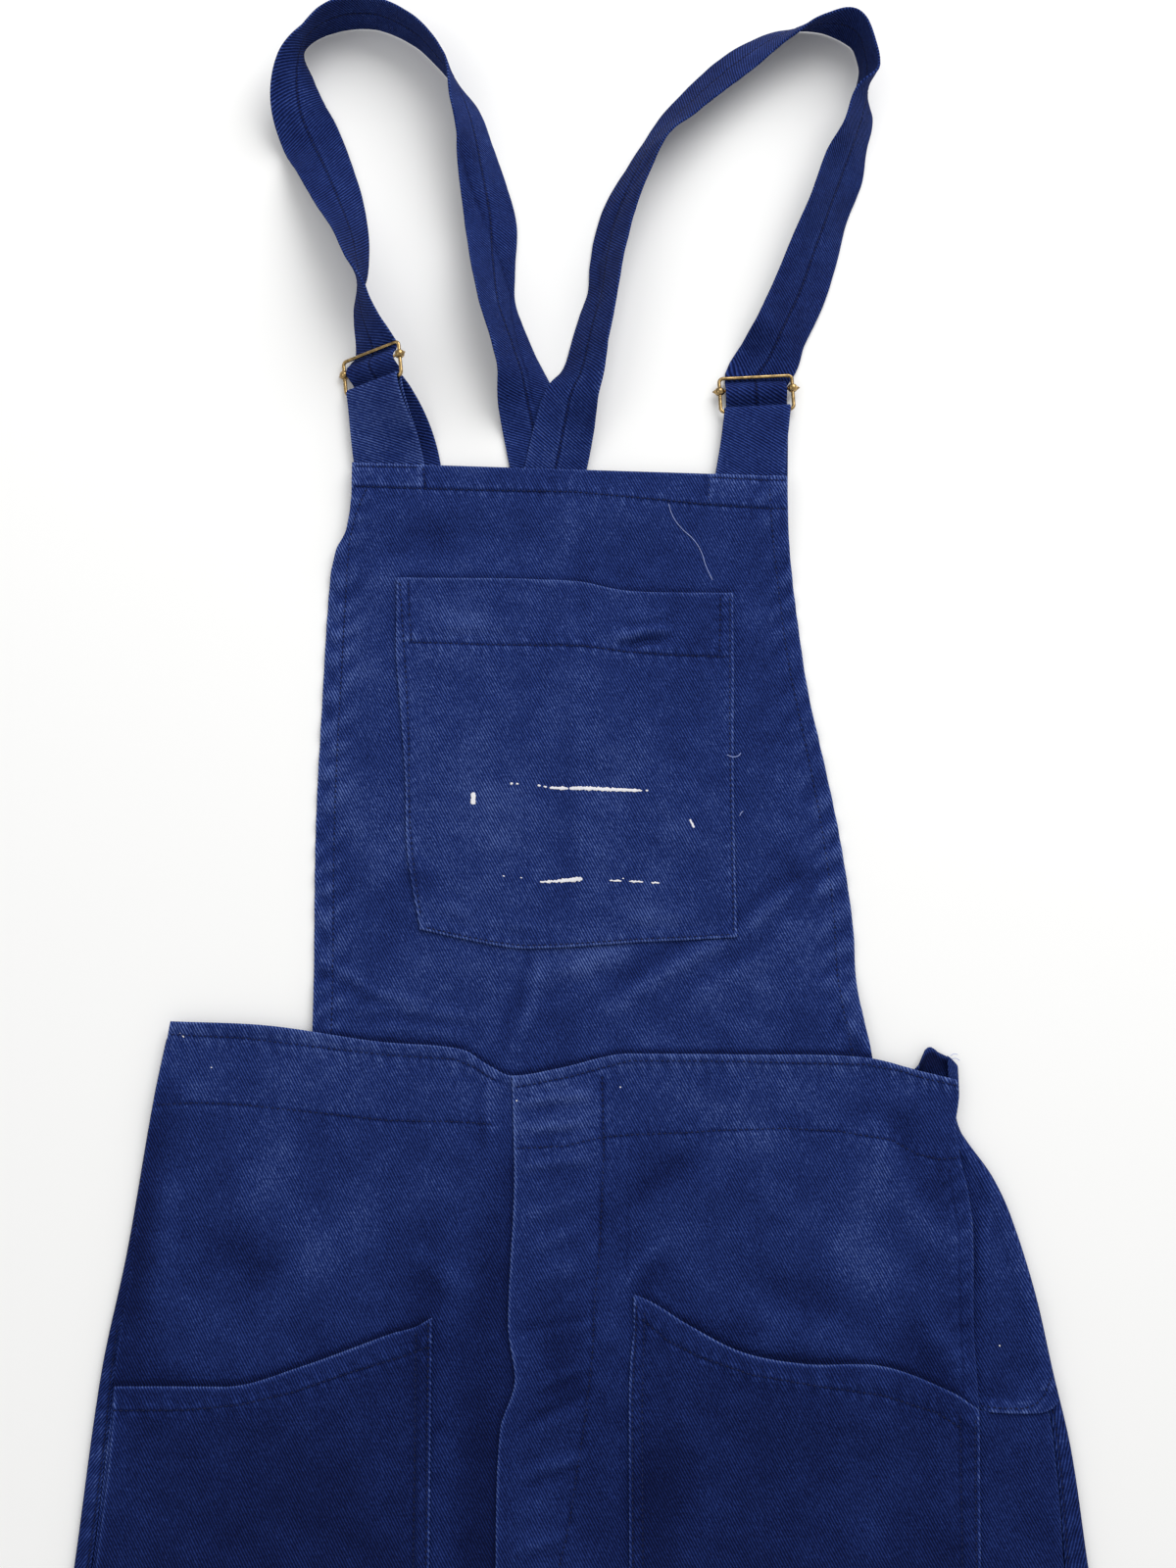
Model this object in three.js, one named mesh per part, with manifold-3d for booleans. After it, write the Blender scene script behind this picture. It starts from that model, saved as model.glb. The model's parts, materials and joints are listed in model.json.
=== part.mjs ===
// Bib overalls, laid flat on their back with the straps spread out above the bib.
//
// Millimetres. +X is the viewer's right (the wearer's left), +Y runs from the legs to the
// straps, +Z is up. The origin is on the floor, under the back panel at the middle of its
// waist. "right" and "left" in names are the wearer's.
import * as THREE from 'three';
import { mergeVertices } from 'three/addons/utils/BufferGeometryUtils.js';
import Module from 'manifold-3d';

const wasm = await Module();
wasm.setup();

// ---------------------------------------------------------------- driving dimensions
const WALL = 1.2; // panel cloth with its nap and turned edges
const STRAP_WALL = 1.6; // shoulder strap: cloth folded on itself and stitched
const LOOP_WALL = 1.4; // strap loop: cloth folded on itself and stitched
const GAP = 0.3; // between pieces at a seam, and between a panel and what lies on it
const LAYER = WALL + GAP; // from a panel to the next one lying on it

const HEM_Y = -1030; // leg hems
const CROTCH_Y = -345;
const BIB_FOOT_Y = -18; // the bib's lower edge, sewn inside the front panels' top
const OPENING_Y = -177; // lower end of the side opening on the wearer's left

const FOLD_RADIUS = 1.8; // the cloth's middle line at a side fold
const FLOOR_LAYER = WALL / 2; // middle of the back panels
const FRONT_LAYER = FLOOR_LAYER + 2 * FOLD_RADIUS; // middle of the front panels on the legs
const INSEAM_LAP = 6;
const SIDE_LAP = 12; // back panel under the front's opening edge, wearer's right
const FLY_UNDERLAP = 28;
const FLY_WIDTH = 48;

const STRAP_WIDTH = 37;
const STRAP_REST = 0.3; // the straps' lower edges off the floor
const LOOP_WIDTH = 40;

const WIRE_RADIUS = 1.1; // brass buckle wire
const FRAME_HALF_WIDTH = 22;
const FRAME_HALF_HEIGHT = 10.5;
const FRAME_CORNER = 2.5;
const BAR_RADIUS = 0.9;
const BAR_OFFSET = 2.5; // the sliding bar stands this far above the frame's middle
const COLLAR_RADIUS = 2.9;
const COLLAR_LENGTH = 4.6;
const COLLAR_POINT = 1.6;
const WIRE_SIDES = 10;

// Middle surface of the bib above the floor.
const BIB_FOOT_LAYER = 4.2; // over the back panel and the straps' ends
const BIB_LAYER = 4.6; // over the crossed straps
const BIB_EDGE_LAYER = 0.9; // along its free sides
const BIB_HEM_LIFT = 2.3; // over the strap loops and the straps' tails

const denim = new THREE.MeshStandardMaterial({ color: 0x24346a, roughness: 0.9, metalness: 0 });
const strapDenim = new THREE.MeshStandardMaterial({ color: 0x232f61, roughness: 0.9, metalness: 0 });
const brass = new THREE.MeshStandardMaterial({ color: 0xa98546, roughness: 0.4, metalness: 1 });

// ---------------------------------------------------------------- outlines
// Each table is read with a smooth curve through its rows.

// The garment's outer contour on either side of the legs.
const CONTOUR_RIGHT = [
  { y: 40, x: -233 }, { y: -5, x: -241 }, { y: -90, x: -253 }, { y: -156, x: -265 },
  { y: -255, x: -275.5 }, { y: -345, x: -285 }, { y: -600, x: -297 }, { y: HEM_Y, x: -303 },
];
const CONTOUR_LEFT = [
  { y: 30, x: 218 }, { y: 0, x: 219 }, { y: -18, x: 217 }, { y: -28, x: 222 },
  { y: -48, x: 236 }, { y: -70, x: 246 }, { y: -113, x: 258.5 }, { y: -156, x: 267 },
  { y: -198, x: 275.5 }, { y: -255, x: 282 }, { y: -345, x: 292 }, { y: -600, x: 302 },
  { y: HEM_Y, x: 308 },
];
// The folds between the legs, from the crotch down.
const INNER_RIGHT = [
  { y: CROTCH_Y, x: -16 }, { y: -380, x: -24 }, { y: -450, x: -32 }, { y: -600, x: -41 },
  { y: HEM_Y, x: -58 },
];
const INNER_LEFT = [
  { y: CROTCH_Y, x: -16 }, { y: -380, x: -4 }, { y: -450, x: 14 }, { y: -600, x: 35 },
  { y: HEM_Y, x: 62 },
];
// How far the side seam lies inside the contour.
const SEAM_INSET_RIGHT = [
  { y: 40, inset: 1 }, { y: -48, inset: 1.5 }, { y: -135, inset: 6.5 }, { y: -200, inset: 10 },
  { y: HEM_Y, inset: 9 },
];
const SEAM_INSET_LEFT = [
  { y: -165, inset: 6.5 }, { y: -210, inset: 10 }, { y: -330, inset: 16 }, { y: HEM_Y, inset: 11 },
];
// The front panel's free edge along the side opening, wearer's left.
const OPENING_EDGE = [
  { y: 10, x: 217 }, { y: -5, x: 218 }, { y: -20, x: 216 }, { y: -40, x: 218.5 },
  { y: -57, x: 222 }, { y: -80, x: 224 }, { y: -130, x: 223 }, { y: -176, x: 224.5 },
];
// Centre front: the fly's overlapping edge, then the short seam to the crotch.
const CENTRE_FRONT = [
  { y: 8, x: -36.5 }, { y: -50, x: -35 }, { y: -130, x: -38 }, { y: -160, x: -34 },
  { y: -187, x: -42 }, { y: -260, x: -44 }, { y: -300, x: -41 }, { y: -325, x: -29 },
  { y: CROTCH_Y, x: -16 },
];
const SEAT_SEAM = [{ y: 0, x: 4 }, { y: -150, x: 4 }, { y: -260, x: -4 }, { y: CROTCH_Y, x: -16 }];
// Top edges.
const FRONT_TOP = [
  { x: -240, y: 39 }, { x: -181, y: 36.5 }, { x: -116, y: 27.5 }, { x: -66, y: 23 },
  { x: -50, y: 14 }, { x: -36, y: 8 }, { x: -8, y: 12.5 }, { x: 30, y: 20.5 }, { x: 97, y: 20 },
  { x: 165, y: 18.5 }, { x: 200, y: 10 }, { x: 219, y: 5.5 },
];
const BACK_TOP = [
  { x: -240, y: 30 }, { x: -120, y: 14 }, { x: 0, y: 12 }, { x: 186, y: 12 }, { x: 203, y: 24 },
  { x: 219, y: 17 },
];
// The bib, cut narrow at the top and wide at the waist.
const BIB_RIGHT_EDGE = [
  { y: 374, x: -134 }, { y: 352, x: -137 }, { y: 338, x: -143 }, { y: 319, x: -146.5 },
  { y: 247, x: -149.5 }, { y: 150, x: -152 }, { y: 40, x: -151 }, { y: BIB_FOOT_Y, x: -153 },
];
const BIB_LEFT_EDGE = [
  { y: 374, x: 126 }, { y: 340, x: 127 }, { y: 292, x: 131.5 }, { y: 247, x: 137 },
  { y: 200, x: 146 }, { y: 154, x: 154 }, { y: 100, x: 160.5 }, { y: 62, x: 162 },
  { y: 20, x: 169.5 }, { y: BIB_FOOT_Y, x: 174 },
];
const BIB_TOP = [{ x: -134, y: 372 }, { x: 126, y: 363.5 }];
// The bib pocket.
const BIB_POCKET_RIGHT_EDGE = [
  { y: 301, x: -106.5 }, { y: 209, x: -100 }, { y: 148, x: -98 }, { y: 80, x: -88.5 },
];
const BIB_POCKET_LEFT_EDGE = [{ y: 301, x: 93 }, { y: 195, x: 92 }, { y: 80, x: 93 }];
const BIB_POCKET_TOP = [{ x: -106.5, y: 301 }, { x: 0, y: 299 }, { x: 30, y: 293 }, { x: 93, y: 291.5 }];
const BIB_POCKET_FOOT = [
  { x: -89, y: 91.5 }, { x: -57, y: 84.5 }, { x: -29, y: 80.5 }, { x: 42, y: 84.5 },
  { x: 93, y: 87 },
];
// The openings of the two hip pockets, falling towards the sides.
const HIP_FOOT_Y = -392;
const HIP_TOP_RIGHT = [
  { x: -262, y: -163.5 }, { x: -195, y: -163.5 }, { x: -152, y: -152.5 }, { x: -103, y: -135 },
  { x: -80, y: -126 },
];
const HIP_TOP_LEFT = [
  { x: 32, y: -113 }, { x: 62, y: -129.5 }, { x: 92, y: -144.5 }, { x: 127, y: -151 },
  { x: 171, y: -152.5 }, { x: 209, y: -166.5 }, { x: 224, y: -176 },
];
const HIP_INNER_RIGHT_X = -80.2;
const HIP_INNER_LEFT = [{ y: -113, x: 32.5 }, { y: -410, x: 30 }];
const HIP_SIDE_LEFT = [{ y: -176, x: 224 }, { y: -410, x: 220 }];

// The straps' routes, from the back waist up under the bib, round their loops and down
// through the buckles. lean is the angle from flat: at 90 the strap stands on its edge, and
// past 90 its other face shows. lift raises it over what it crosses.
const STRAP_ROUTE_RIGHT = [
  { x: 65, y: -12, lean: 0, lift: 1.3 }, { x: 58, y: 12, lean: 0, lift: 1.3 },
  { x: 50, y: 45, lean: 0, lift: 0 }, { x: 8, y: 240, lean: 0, lift: 0 },
  { x: -20, y: 365, lean: 0, lift: 0 }, { x: -25, y: 390, lean: 0, lift: 0 },
  { x: -29, y: 409, lean: 12, lift: 0 }, { x: -33, y: 427, lean: 40, lift: 0 },
  { x: -39, y: 444, lean: 49, lift: 0 }, { x: -47.5, y: 470, lean: 52, lift: 0 },
  { x: -51, y: 500, lean: 42, lift: 0 }, { x: -52.5, y: 523, lean: 32, lift: 0 },
  { x: -57, y: 549, lean: 41, lift: 0 }, { x: -62, y: 575, lean: 55, lift: 0 },
  { x: -69, y: 598, lean: 63, lift: 0 }, { x: -79, y: 620, lean: 86, lift: 0 },
  { x: -98, y: 643, lean: 91, lift: 0 }, { x: -124, y: 656, lean: 92, lift: 0 },
  { x: -149.5, y: 654.5, lean: 91, lift: 0 }, { x: -167, y: 641.5, lean: 82, lift: 0 },
  { x: -172, y: 622, lean: 117, lift: 0 }, { x: -171, y: 600, lean: 151, lift: 0 },
  { x: -163.5, y: 580, lean: 172, lift: 0 }, { x: -155, y: 561, lean: 157, lift: 0 },
  { x: -145, y: 536.5, lean: 142, lift: 0 }, { x: -137, y: 514, lean: 123, lift: 0 },
  { x: -132.5, y: 491, lean: 104, lift: 0 }, { x: -131, y: 476, lean: 79, lift: 0 },
  { x: -128.7, y: 463, lean: 70, lift: 0 }, { x: -125, y: 451, lean: 61, lift: 0 },
  { x: -122, y: 442, lean: 48, lift: 0 },
];
const STRAP_ROUTE_LEFT = [
  { x: -100, y: -12, lean: 0, lift: 1.3 }, { x: -93, y: 12, lean: 0, lift: 1.3 },
  { x: -85, y: 45, lean: 0, lift: 0 }, { x: -43, y: 235, lean: 0, lift: 0 },
  { x: -35, y: 270, lean: 0, lift: 1.9 }, { x: -19, y: 340, lean: 0, lift: 1.9 },
  { x: -12, y: 372, lean: 0, lift: 2 }, { x: -6, y: 396, lean: -10, lift: 4 },
  { x: -1, y: 410, lean: -24, lift: 5.8 }, { x: 4.5, y: 424, lean: -41, lift: 2.9 },
  { x: 7, y: 441, lean: -51, lift: 0 }, { x: 12, y: 462, lean: -54, lift: 0 },
  { x: 16.5, y: 480, lean: -59, lift: 0 }, { x: 18.5, y: 497, lean: -56, lift: 0 },
  { x: 22, y: 515, lean: -53, lift: 0 }, { x: 27.5, y: 534, lean: -54, lift: 0 },
  { x: 35, y: 551, lean: -58, lift: 0 }, { x: 47, y: 573, lean: -64, lift: 0 },
  { x: 66, y: 595, lean: -51, lift: 0 }, { x: 97, y: 624.5, lean: -44, lift: 0 },
  { x: 127.5, y: 644, lean: -57, lift: 0 }, { x: 152, y: 650, lean: -79, lift: 0 },
  { x: 171, y: 646, lean: -98, lift: 0 }, { x: 178, y: 630, lean: -98, lift: 0 },
  { x: 178.5, y: 614, lean: -105, lift: 0 }, { x: 176, y: 598, lean: -68, lift: 0 },
  { x: 170, y: 576, lean: -62, lift: 0 }, { x: 162, y: 554, lean: -46, lift: 0 },
  { x: 154, y: 532, lean: -48, lift: 0 }, { x: 146, y: 509, lean: -39, lift: 0 },
  { x: 134.5, y: 478, lean: -29, lift: 0 }, { x: 124, y: 455, lean: -31, lift: 0 },
  { x: 117, y: 440, lean: -10, lift: 0 }, { x: 111, y: 431, lean: -3, lift: 0 },
];
// Their tails, under the loops and on behind the bib.
const TAIL_RIGHT = [
  { x: -113.5, y: 408, lean: 26 }, { x: -106, y: 392, lean: 10 }, { x: -101, y: 376 },
  { x: -96, y: 345 },
];
const TAIL_LEFT = [{ x: 109, y: 390 }, { x: 108.5, y: 368 }, { x: 108, y: 340 }];

// Where each buckle lies: its middle, its turn on the floor and its lean.
const BUCKLE_RIGHT = { x: -120, y: 428, turn: 6, lean: 36, up: 1.2 };
const BUCKLE_LEFT = { x: 108.5, y: 416, turn: 3, lean: 0, up: 0 };
// Where the strap loops start behind the bib's hem.
const LOOP_FOOT_RIGHT = { x: -110, y: 357 };
const LOOP_FOOT_LEFT = { x: 102.5, y: 351 };

// ---------------------------------------------------------------- reading the tables
const smooth = (low, high, t) => THREE.MathUtils.smoothstep(t, low, high);
const mix = THREE.MathUtils.lerp;
const radians = THREE.MathUtils.degToRad;

// A smooth curve through one column of a table, as a function of another column. Each
// row's slope is that of the line through its two neighbours, and level where the values
// turn or stay the same. Past the ends the curve is constant.
function curve(table, from, to) {
  const rows = [...table].sort((a, b) => a[from] - b[from]);
  const t = rows.map((row) => row[from]);
  const value = rows.map((row) => row[to]);
  const last = rows.length - 1;
  const slope = value.map((here, i) => {
    const before = Math.max(i - 1, 0);
    const after = Math.min(i + 1, last);
    const turns = i > 0 && i < last && (here - value[before]) * (value[after] - here) <= 0;
    return turns ? 0 : (value[after] - value[before]) / (t[after] - t[before]);
  });
  return (where) => {
    if (where <= t[0]) return value[0];
    if (where >= t[last]) return value[last];
    const i = t.findIndex((edge, k) => k > 0 && where <= edge) - 1;
    const span = t[i + 1] - t[i];
    const s = (where - t[i]) / span;
    return (
      (2 * s ** 3 - 3 * s ** 2 + 1) * value[i] +
      (s ** 3 - 2 * s ** 2 + s) * span * slope[i] +
      (3 * s ** 2 - 2 * s ** 3) * value[i + 1] +
      (s ** 3 - s ** 2) * span * slope[i + 1]
    );
  };
}

const even = (count) => Array.from({ length: count + 1 }, (_, i) => i / count);

// ---------------------------------------------------------------- closed bodies
const part = new THREE.Group();

function add(name, geometry, material) {
  const mesh = new THREE.Mesh(geometry, material);
  mesh.name = name;
  part.add(mesh);
  return mesh;
}

// Six times the signed volume of an indexed geometry: negative when it is inside out.
function signedVolume(position, index) {
  const [a, b, c] = [new THREE.Vector3(), new THREE.Vector3(), new THREE.Vector3()];
  let sum = 0;
  for (let i = 0; i < index.length; i += 3) {
    a.fromArray(position, 3 * index[i]);
    b.fromArray(position, 3 * index[i + 1]);
    c.fromArray(position, 3 * index[i + 2]);
    sum += a.dot(b.cross(c));
  }
  return sum;
}

// A closed body with its faces pointing out.
function closedGeometry(points, index) {
  if (signedVolume(points, index) < 0) index.reverse();
  const geometry = new THREE.BufferGeometry();
  geometry.setAttribute('position', new THREE.Float32BufferAttribute(points, 3));
  geometry.setIndex(index);
  return geometry;
}

// A wall of cloth: rows of points on the cloth's middle surface, thickened half the wall to
// either side along the surface's normal, and closed round its rim.
function clothGeometry(rows, wall) {
  const height = rows.length;
  const width = rows[0].length;
  const along = new THREE.Vector3();
  const across = new THREE.Vector3();
  const points = [];
  for (const side of [0.5, -0.5]) {
    rows.forEach((row, j) => {
      row.forEach((point, i) => {
        along.subVectors(rows[Math.min(j + 1, height - 1)][i], rows[Math.max(j - 1, 0)][i]);
        across.subVectors(row[Math.min(i + 1, width - 1)], row[Math.max(i - 1, 0)]);
        const normal = across.clone().cross(along).normalize();
        points.push(...point.clone().addScaledVector(normal, side * wall).toArray());
      });
    });
  }
  const upper = (i, j) => j * width + i;
  const lower = (i, j) => width * height + j * width + i;
  const index = [];
  const quad = (a, b, c, d) => index.push(a, b, c, a, c, d);
  for (let j = 0; j < height - 1; j += 1) {
    for (let i = 0; i < width - 1; i += 1) {
      quad(upper(i, j), upper(i + 1, j), upper(i + 1, j + 1), upper(i, j + 1));
      quad(lower(i, j), lower(i, j + 1), lower(i + 1, j + 1), lower(i + 1, j));
    }
    quad(upper(0, j), upper(0, j + 1), lower(0, j + 1), lower(0, j));
    quad(upper(width - 1, j), lower(width - 1, j), lower(width - 1, j + 1), upper(width - 1, j + 1));
  }
  for (let i = 0; i < width - 1; i += 1) {
    quad(upper(i, 0), lower(i, 0), lower(i + 1, 0), upper(i + 1, 0));
    quad(upper(i, height - 1), upper(i + 1, height - 1), lower(i + 1, height - 1), lower(i, height - 1));
  }
  return closedGeometry(points, index);
}

const cloth = (name, rows, wall = WALL, material = denim) => add(name, clothGeometry(rows, wall), material);

// ---------------------------------------------------------------- panel surfaces
const contour = { right: curve(CONTOUR_RIGHT, 'y', 'x'), left: curve(CONTOUR_LEFT, 'y', 'x') };
const innerFold = { right: curve(INNER_RIGHT, 'y', 'x'), left: curve(INNER_LEFT, 'y', 'x') };
const seamInset = {
  right: curve(SEAM_INSET_RIGHT, 'y', 'inset'),
  left: curve(SEAM_INSET_LEFT, 'y', 'inset'),
};
const outward = { right: -1, left: 1 }; // the sign of X on each of the wearer's sides
const openingEdge = curve(OPENING_EDGE, 'y', 'x');
const centreFront = curve(CENTRE_FRONT, 'y', 'x');
const seatSeam = curve(SEAT_SEAM, 'y', 'x');
const frontTop = curve(FRONT_TOP, 'x', 'y');
const backTop = curve(BACK_TOP, 'x', 'y');

// Height of the front panels' middle surface: over the bib's foot and the side openings
// above, lower on the legs, and over the other front at the fly.
function frontHeight(side, x, y) {
  const waist = LAYER * smooth(-215, -180, y);
  if (side === 'right') return FRONT_LAYER + waist;
  const reach = x - centreFront(y);
  const fly = LAYER * (1 - smooth(FLY_UNDERLAP + 5, FLY_WIDTH, reach)) * smooth(-335, -305, y);
  return FRONT_LAYER + waist + fly;
}

// How far the edges between the legs have turned round their folds, just below the crotch.
const curl = (y) => 1 - smooth(CROTCH_Y - 32, CROTCH_Y, y);

// A row of the leg rises to follow the top edge, and fades to level by the hip.
const follow = (y, top) => y + top * smooth(-150, 0, y);

const BODY_ROWS = [
  0, -14, -28, -42, -58, -78, -100, -125, -150, -175, -178, -195, -215, -245, -275, -300, -320,
  -335, CROTCH_Y, -356, -368, -385, -420, -480, -560, -660, -780, -900, HEM_Y,
];

// ---------------------------------------------------------------- back panels
// One row across a back panel: flat on the floor from the seat seam, round the side fold and
// over to the side seam; below the crotch its inner edge turns over to the inseam too.
const TURN = [0.3, 0.65, 1]; // stations round a fold
function backRow(side, level) {
  const sign = outward[side];
  const turned = curl(level);
  const half = WALL / 2;
  const inner = (level > CROTCH_Y ? seatSeam(level) : innerFold[side](level)) + (sign * GAP) / 2;
  const edge = contour[side](follow(level, backTop(contour[side](level))));
  const outer = edge - sign * half;
  const lapEnd = side === 'right' && level > -160 ? SIDE_LAP : seamInset[side](level);
  const points = [];
  const place = (x, z) => points.push(new THREE.Vector3(x, follow(level, backTop(x)), z));
  const innerCentre = inner + sign * (half + FOLD_RADIUS);
  const strip = [];
  for (const s of [1, 0.05]) {
    strip.push({ run: INSEAM_LAP * (1 - s), x: innerCentre + sign * INSEAM_LAP * s, z: FRONT_LAYER });
  }
  for (const s of TURN) {
    strip.push({
      run: INSEAM_LAP + Math.PI * FOLD_RADIUS * s,
      x: innerCentre - sign * FOLD_RADIUS * Math.sin(Math.PI * s),
      z: FLOOR_LAYER + FOLD_RADIUS * (1 + Math.cos(Math.PI * s)),
    });
  }
  for (const at of strip) place(mix(inner + sign * at.run, at.x, turned), mix(FLOOR_LAYER, at.z, turned));
  const flatStart = points[points.length - 1].x;
  const flatEnd = outer - sign * FOLD_RADIUS;
  for (const s of even(5).slice(1)) place(mix(flatStart, flatEnd, s), FLOOR_LAYER);
  for (const s of TURN) {
    const angle = Math.PI * s;
    const x = flatEnd + sign * FOLD_RADIUS * Math.sin(angle);
    place(x, FLOOR_LAYER + FOLD_RADIUS * (1 - Math.cos(angle)));
  }
  place(edge - sign * (Math.max(lapEnd, 4) - GAP / 2), FRONT_LAYER);
  return points;
}
for (const side of ['right', 'left']) {
  cloth(`back_${side}`, BODY_ROWS.map((level) => backRow(side, level)));
}

// ---------------------------------------------------------------- front panels
function frontInner(side, y) {
  const sign = outward[side];
  if (y <= CROTCH_Y) {
    const inset = GAP + WALL / 2 + FOLD_RADIUS + INSEAM_LAP;
    return innerFold[side](y) + sign * (GAP / 2 + inset * Math.min(1, 2.5 * curl(y)));
  }
  if (side === 'left') return centreFront(y) + GAP / 2;
  return centreFront(y) - GAP / 2 + FLY_UNDERLAP * smooth(-300, -255, y);
}
function frontOuter(side, y) {
  if (side === 'left' && y > OPENING_Y) return openingEdge(y);
  return contour[side](y) - outward[side] * (seamInset[side](y) + GAP / 2);
}
// A point of a front panel: u runs from the centre to the side, level down the leg. On the
// wearer's left the last columns are the opening's hem, and take up the step below it.
const HEM_COLUMN = 0.82;
const OPENING_HEM = 14;
function frontPoint(side, u, level) {
  const guess = mix(frontInner(side, level), frontOuter(side, level), u);
  const y = follow(level, frontTop(guess));
  const inner = frontInner(side, y);
  const outer = frontOuter(side, y);
  let x = mix(inner, outer, u);
  if (side === 'left') {
    const hem = mix(openingEdge(y) - OPENING_HEM, mix(inner, outer, HEM_COLUMN), smooth(180, 420, -y));
    const beyond = (u - HEM_COLUMN) / (1 - HEM_COLUMN);
    x = u < HEM_COLUMN ? mix(inner, hem, u / HEM_COLUMN) : mix(hem, outer, beyond);
  }
  return new THREE.Vector3(x, y, frontHeight(side, x, y));
}
const FRONT_COLUMNS = {
  right: even(9),
  left: [0, 0.07, 0.13, 0.19, 0.25, 0.38, 0.52, 0.67, HEM_COLUMN, 0.91, 1],
};
for (const side of ['right', 'left']) {
  const rows = BODY_ROWS.map((level) => FRONT_COLUMNS[side].map((u) => frontPoint(side, u, level)));
  cloth(`front_${side}`, rows);
}

// The extension sewn to the back along the wearer's left side opening. It lies under the
// front's free edge and ends level with the hip pocket.
const UNDERLAP_INNER_X = 206;
const UNDERLAP_ROWS = [-22, -34, -48, -70, -95, -125, -155, OPENING_Y + 1];
cloth(
  'side_underlap_left',
  UNDERLAP_ROWS.map((y) => {
    const outer = contour.left(y) - seamInset.left(y) - GAP / 2;
    return even(3).map((u) => new THREE.Vector3(mix(UNDERLAP_INNER_X, outer, u), y, FRONT_LAYER));
  }),
);

// ---------------------------------------------------------------- bib
const bibEdge = { right: curve(BIB_RIGHT_EDGE, 'y', 'x'), left: curve(BIB_LEFT_EDGE, 'y', 'x') };
const bibTop = curve(BIB_TOP, 'x', 'y');

// The bib passes over the crossed straps, and at its top over the strap loops. Between the
// waist and the loops its sides settle to the floor.
function bibHeight(x, y) {
  const inside = Math.min(x - bibEdge.right(y), bibEdge.left(y) - x);
  const free = smooth(32, 80, y) * (1 - smooth(285, 325, y)) * (1 - smooth(2, 45, inside));
  const middle = mix(BIB_FOOT_LAYER, BIB_LAYER, smooth(40, 90, y));
  return mix(middle, BIB_EDGE_LAYER, free) + BIB_HEM_LIFT * smooth(315, 345, y);
}
const BIB_ROWS = [0, 0.045, 0.1, 0.17, 0.25, 0.34, 0.44, 0.54, 0.64, 0.73, 0.8, 0.86, 0.93, 1];
const BIB_COLUMNS = [0, 0.06, 0.13, 0.22, 0.36, 0.5, 0.64, 0.78, 0.87, 0.94, 1];
cloth(
  'bib',
  BIB_ROWS.map((v) =>
    BIB_COLUMNS.map((u) => {
      const y = mix(bibTop(mix(BIB_TOP[0].x, BIB_TOP[1].x, u)), BIB_FOOT_Y, v);
      const x = mix(bibEdge.right(y), bibEdge.left(y), u);
      return new THREE.Vector3(x, y, bibHeight(x, y));
    }),
  ),
);

// A patch lies on a panel: its points are the panel's own, moved out by one layer. It has
// two sides, given by the place down it, and a top and a foot, given by the place across.
function patchRows({ right, left, top, foot, height, columns, rows }) {
  const middle = top((right(0) + left(0)) / 2);
  return rows.map((v) =>
    columns.map((u) => {
      const guess = mix(right(middle), left(middle), u);
      const level = mix(top(guess), foot(guess), v);
      const x = mix(right(level), left(level), u);
      const y = mix(top(x), foot(x), v);
      return new THREE.Vector3(x, y, height(x, y, v));
    }),
  );
}
cloth(
  'bib_pocket',
  patchRows({
    right: curve(BIB_POCKET_RIGHT_EDGE, 'y', 'x'),
    left: curve(BIB_POCKET_LEFT_EDGE, 'y', 'x'),
    top: curve(BIB_POCKET_TOP, 'x', 'y'),
    foot: curve(BIB_POCKET_FOOT, 'x', 'y'),
    height: (x, y) => bibHeight(x, y) + LAYER,
    columns: even(8),
    rows: even(7),
  }),
);

// ---------------------------------------------------------------- hip pockets
// Patches on the front panels, with slanted mouths that stand a little open.
const HIP_POCKETS = {
  right: {
    right: (y) => contour.right(y) + seamInset.right(y) + 1,
    left: () => HIP_INNER_RIGHT_X,
    top: curve(HIP_TOP_RIGHT, 'x', 'y'),
    mouth: { from: -250, to: -95, gape: 1.5 },
  },
  left: {
    right: curve(HIP_INNER_LEFT, 'y', 'x'),
    left: curve(HIP_SIDE_LEFT, 'y', 'x'),
    top: curve(HIP_TOP_LEFT, 'x', 'y'),
    mouth: { from: 50, to: 205, gape: 3 },
  },
};
for (const [side, { mouth, ...outline }] of Object.entries(HIP_POCKETS)) {
  const height = (x, y, v) => {
    const place = THREE.MathUtils.clamp((x - mouth.from) / (mouth.to - mouth.from), 0, 1);
    const open = mouth.gape * Math.sin(Math.PI * place) * (1 - smooth(0, 0.2, v));
    return frontHeight(side, x, y) + LAYER + open;
  };
  const rows = [0, 0.06, 0.13, 0.22, 0.4, 0.6, 0.8, 1];
  const patch = { ...outline, foot: () => HIP_FOOT_Y, height, columns: even(8), rows };
  cloth(`hip_pocket_${side}`, patchRows(patch));
}

// ---------------------------------------------------------------- straps
// A ribbon's frame at one place: its middle, the direction across it, tipped up by the lean,
// and the normal of its face. up raises it clear of the floor, on which its edge lies.
function ribbonFrame(x, y, heading, lean, up) {
  const tip = radians(lean);
  const flat = Math.cos(tip);
  const across = new THREE.Vector3(-heading.y * flat, heading.x * flat, Math.sin(tip));
  const normal = new THREE.Vector3(heading.x, heading.y, 0).cross(across);
  const z = STRAP_REST + up + (STRAP_WALL * Math.abs(flat) + STRAP_WIDTH * Math.abs(Math.sin(tip))) / 2;
  return { middle: new THREE.Vector3(x, y, z), across, normal };
}
const onRibbon = (frame, side, lift) =>
  frame.middle.clone().addScaledVector(frame.across, side).addScaledVector(frame.normal, lift);

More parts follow.
